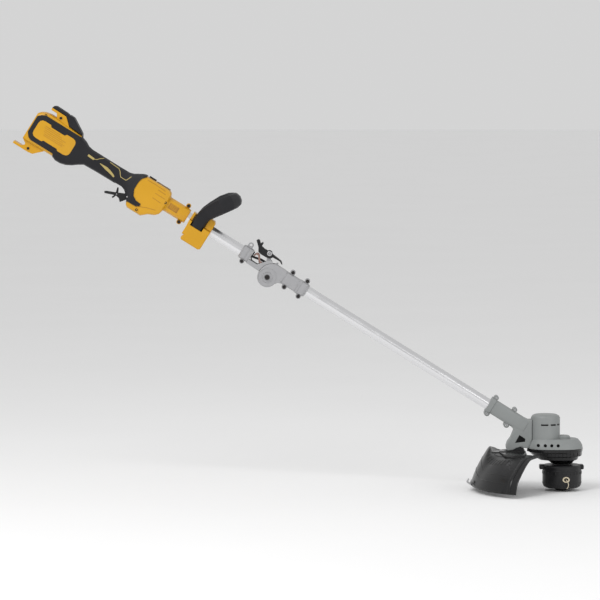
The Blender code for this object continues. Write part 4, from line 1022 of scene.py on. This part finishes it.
def guard_rib(bm, places, wide, tall, inside=False):
    """A rib on the guard along (section, step) places."""
    sections = guard_sections()
    points = []
    for s_index, k in places:
        row = sections[s_index]
        nr, nz = section_normal(row, k)
        turn = math.radians(row[k].x)
        out = Vector((-nr * math.cos(turn), -nr * math.sin(turn), nz))
        base = lifted(row, k, -GUARD_WALL if inside else 0.0)
        points.append((guard_place(base), -out if inside else out))
    rings = []
    for k, (place, out) in enumerate(points):
        before, after = points[max(0, k - 1)][0], points[min(len(points) - 1, k + 1)][0]
        side = (after - before).normalized().cross(out).normalized()
        ring = []
        for across, up in RIBBON_CROSS:
            level = up * tall if up > 0 else RIB_SUNK
            ring.append(place + side * (across * wide * MM) + out * (level * MM))
        rings.append(ring)
    rings_to_bmesh(bm, rings)


def slab(bm, outline, z0, z1):
    """A level plate with eased edges, from an outline in millimetres."""
    ease = 1.2
    cx = sum(x for x, _ in outline) / len(outline)
    cy = sum(y for _, y in outline) / len(outline)
    rings = []
    for z, inset in ((z0, ease), (z0 + ease * 0.3, ease * 0.3), (z0 + ease, 0.0),
                     (z1 - ease, 0.0), (z1 - ease * 0.3, ease * 0.3), (z1, ease)):
        ring = []
        for x, y in outline:
            reach = math.hypot(x - cx, y - cy)
            share = max(0.0, 1.0 - inset / reach)
            ring.append(on_head(cx + (x - cx) * share, cy + (y - cy) * share, z))
        rings.append(ring)
    rings_to_bmesh(bm, rings)


GUARD_ARM = [(-158, -22), (-92, -22), (-92, 22), (-150, 22), (-158, 14)]
GUARD_WING = [(-92, -22), (-158, -22), (-150, -70), (-128, -98), (-100, -98), (-92, -60)]
PLATE_SEAT, WING_SEAT = 99.2, 97.2
GUARD_WEB = [(-187, 4), (-150, 12), (-150, -12), (-187, -10)]


def build_guard_details():
    """The whole guard: skirt, mounting plate, borders, steps and ribs."""
    bm = build_guard_shell()
    slab(bm, GUARD_ARM, 92.7, 99.7)
    slab(bm, GUARD_WING, 91.7, 97.7)
    slab(bm, GUARD_WEB, 91.7, 96.7)
    shell = placed_mesh("guard_shell", bm, "guard", "lower_shaft", 40.0)
    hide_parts("guard")
    bm = bmesh.new()
    whole = range(1, 6 * GUARD_STEPS + 1)
    guard_rib(bm, [(3, k) for k in whole], 10.0, 1.5)
    guard_rib(bm, [(43, k) for k in whole], 6.0, 1.3)
    for k, wide, tall in ((29, 4.0, 1.5), (25, 1.8, 1.0), (21, 1.4, 0.8), (9, 2.2, 1.1)):
        guard_rib(bm, [(n, k) for n in range(5, 42)], wide, tall)
    for n in range(9, 26, 2):
        guard_rib(bm, [(n, k) for k in range(12, 17)], 2.0, 0.8)
    placed_mesh("guard_borders", bm, "guard", "lower_shaft", 40.0)
    bm = bmesh.new()
    for k in (8, 14, 20, 26):
        guard_rib(bm, [(n, k) for n in range(2, 44)], 1.6, 1.8, inside=True)
    for n in range(6, 42, 7):
        guard_rib(bm, [(n, k) for k in range(2, 29)], 1.6, 2.0, inside=True)
    placed_mesh("guard_inner_ribs", bm, "guard", "lower_shaft", 40.0)
    bm = bmesh.new()
    for x, y in ((-142, 0), (-106, -12), (-106, 12), (-128, -62)):
        seat = PLATE_SEAT if y > -50 else WING_SEAT
        star_screw(bm, on_head(x, y, seat), Vector((0, 0, 1)), 3.4)
    placed_mesh("guard_plate_screws", bm, "screw", "lower_shaft")


# ---- eyelets and the line head -----------------------------------------------------------------
EYELET_LIP = [(-3.2, 0.62), (-0.5, 0.6), (-0.05, 0.7), (0.0, 0.8), (-0.1, 0.92), (-0.8, 1.0),
              (-3.2, 1.0)]
EYELET_SHADE_THROAT = [(-4.5, 0.66), (-2.2, 0.66)]


def oval_rings(profile, middle, half_x, half_z, out):
    """Oval rings in an eyelet's face; the profile is (millimetres out, share of its size)."""
    turns = [math.tau * k / 40 for k in range(40)]
    return [[middle + Vector((half_x * share * math.cos(a), 0, half_z * share * math.sin(a)))
             + out * (along * MM) for a in turns] for along, share in profile]


def build_eyelets():
    """Oval nylon eyelets with a rolled lip, and a near-black throat in each that stands in for the
    shade in its hole: painted shade.
    """
    for side, out in (("near", NEAR), ("far", FAR)):
        low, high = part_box("eyelet_" + side)
        half_x, half_z = (high.x - low.x) / 2, (high.z - low.z) / 2
        middle = (low + high) / 2
        middle.y = low.y if side == "near" else high.y
        ring, throat = bmesh.new(), bmesh.new()
        rings_to_bmesh(ring, oval_rings(EYELET_LIP, middle, half_x, half_z, out), closed=True)
        rings_to_bmesh(throat, oval_rings(EYELET_SHADE_THROAT, middle, half_x, half_z, out))
        lip = placed_mesh("eyelet_ring_" + side, ring, "cream", "spool_head")
        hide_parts("eyelet_" + side)
        # a near-black throat in the eyelet's hole: painted shade
        placed_mesh("eyelet_painted_shade_throat_" + side, throat, "dark", "spool_head")


SPRING_WIRE_R, SPRING_R = 0.7, 19.0
SPRING_LOW, SPRING_RISE = 43.2, 8.2
SPRING_TURNS, SPRING_STEPS = 2.4, 58


def build_knob_spring():
    """The knob's coil spring, drawn at one length, though the real one shortens as the knob is pushed
    up.
    """
    rings = []
    for k in range(SPRING_STEPS + 1):
        turn = math.tau * SPRING_TURNS * k / SPRING_STEPS
        out = Vector((math.cos(turn), math.sin(turn), 0.0))
        centre = on_head(0, 0, SPRING_LOW + SPRING_RISE * k / SPRING_STEPS)
        centre += out * (SPRING_R * MM)
        rings.append([centre + (out * math.cos(a) + UP * math.sin(a)) * (SPRING_WIRE_R * MM)
                      for a in (math.tau * n / 8 for n in range(8))])
    bm = bmesh.new()
    rings_to_bmesh(bm, rings)
    spring = placed_mesh("knob_spring_coil", bm, "steel", "spool_head")
    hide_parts("knob_spring")
    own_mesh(spring)


# ---- painted shade behind the head's openings, and a web in its neck -------------------------------
FOOT_WINDOW_SHADE_SHEET = [(-122, 117), (-92, 121), (-90, 132), (-106, 144), (-112, 140)]
VENT_SHADE_SHEET = [(-66, 109), (-4, 109), (-4, 122), (-66, 122)]
NECK_WEB = [(-84, 126), (-71, 126), (-71, 174), (-84, 174)]
SADDLE = [(-139, 99.5), (-96, 99.5), (-96, 104.5), (-103, 107.5), (-112, 109.0), (-124, 106.5),
          (-131, 103.0), (-139, 102.0)]
SADDLE_MIDDLE, SADDLE_FOOT = -118, 99.5


def build_shade_sheets_and_neck_web():
    """Near-black sheets behind the foot's window and the vents, which stand in for the shade inside:
    painted shade; and a grey web across the neck.
    """
    bm = bmesh.new()
    # a near-black sheet behind the foot's window: painted shade
    prism(bm, on_head, FOOT_WINDOW_SHADE_SHEET, -3.0, 3.0)
    placed_mesh("foot_window_painted_shade", bm, "dark", "lower_shaft")
    bm = bmesh.new()
    # near-black sheets behind the vents: painted shade
    for y in (-31.0, 31.0):
        prism(bm, on_head, VENT_SHADE_SHEET, y - 0.5, y + 0.5)
    placed_mesh("base_vent_painted_shade", bm, "dark", "lower_shaft")
    bm = bmesh.new()
    prism(bm, on_head, NECK_WEB, -1.5, 1.5)
    placed_mesh("neck_inner_web", bm, "grey", "lower_shaft")


def build_guard_saddle():
    """The black block that fills the gap between the head's foot and the guard's plate."""
    rings = []
    for y, share in ((-15.5, 0.9), (-14.0, 1.0), (14.0, 1.0), (15.5, 0.9)):
        rings.append([on_head(SADDLE_MIDDLE + (x - SADDLE_MIDDLE) * share, y,
                              SADDLE_FOOT + (z - SADDLE_FOOT) * share) for x, z in SADDLE])
    bm = bmesh.new()
    rings_to_bmesh(bm, rings)
    placed_mesh("guard_saddle", bm, "black", "lower_shaft")


# ---- the wires in the casting's window -----------------------------------------------------------
# a black strip along the window's left edge and floor, under the wires: painted shade
WINDOW_SHADE_STRIP = [(-63.0, 15.0), (-63.0, -3.0), (-57.0, -9.0), (-40.0, -9.5), (-27.0, -1.0),
               (-27.0, 1.6), (-41.0, -6.8), (-56.0, -6.2), (-60.2, -2.0), (-60.2, 15.0)]
SHADE_STRIP_HALF_WIDTH = 10.5
WINDOW_WIRES = ((-5.6, -0.8), (-2.8, 1.4), (0.0, -1.4), (2.8, 1.4), (5.6, -0.8))
WINDOW_WIRE_R = 1.7


def build_window_wires():
    """The wire bundle in the upper casting's window, over a black strip along the window's left edge
    and floor that stands in for the shade there: painted shade.
    """
    bm = bmesh.new()
    prism(bm, on_shaft, WINDOW_SHADE_STRIP, -SHADE_STRIP_HALF_WIDTH, SHADE_STRIP_HALF_WIDTH)
    placed_mesh("window_shade_strip", bm, "black", "root")
    for n, (y, lift) in enumerate(WINDOW_WIRES, 1):
        route = [on_shaft(-58, y * 0.9, 7 + lift), on_shaft(-54, y, 14 + lift),
                 on_shaft(-48, y * 1.1, 13 + lift), on_shaft(-42, y, 5 + lift),
                 on_shaft(-37, y * 0.9, -1 + lift), on_shaft(-33, y * 0.9, 1 + lift)]
        places = smooth_route([p / MM for p in route], 2.0)
        round_cord("window_wire_%d" % n, places, WINDOW_WIRE_R, "cable", "root")


# ---- making ----------------------------------------------------------------------------------------
build_camera()
build_line_tails()
finish_parts()
build_grip_inlays()
build_shell_screws()
build_shell_lines()
build_top_trims()
build_neck_clamp()
build_hinge_details()
build_hinge_screw_faces()
build_latch_details()
build_neck_boss_screws()
build_cover_ribs()
build_cup_ribs()
build_eyelets()
build_shade_sheets_and_neck_web()
build_guard_saddle()
build_window_wires()
build_knob_spring()
build_guard_details()
build_stage()
build_lights()
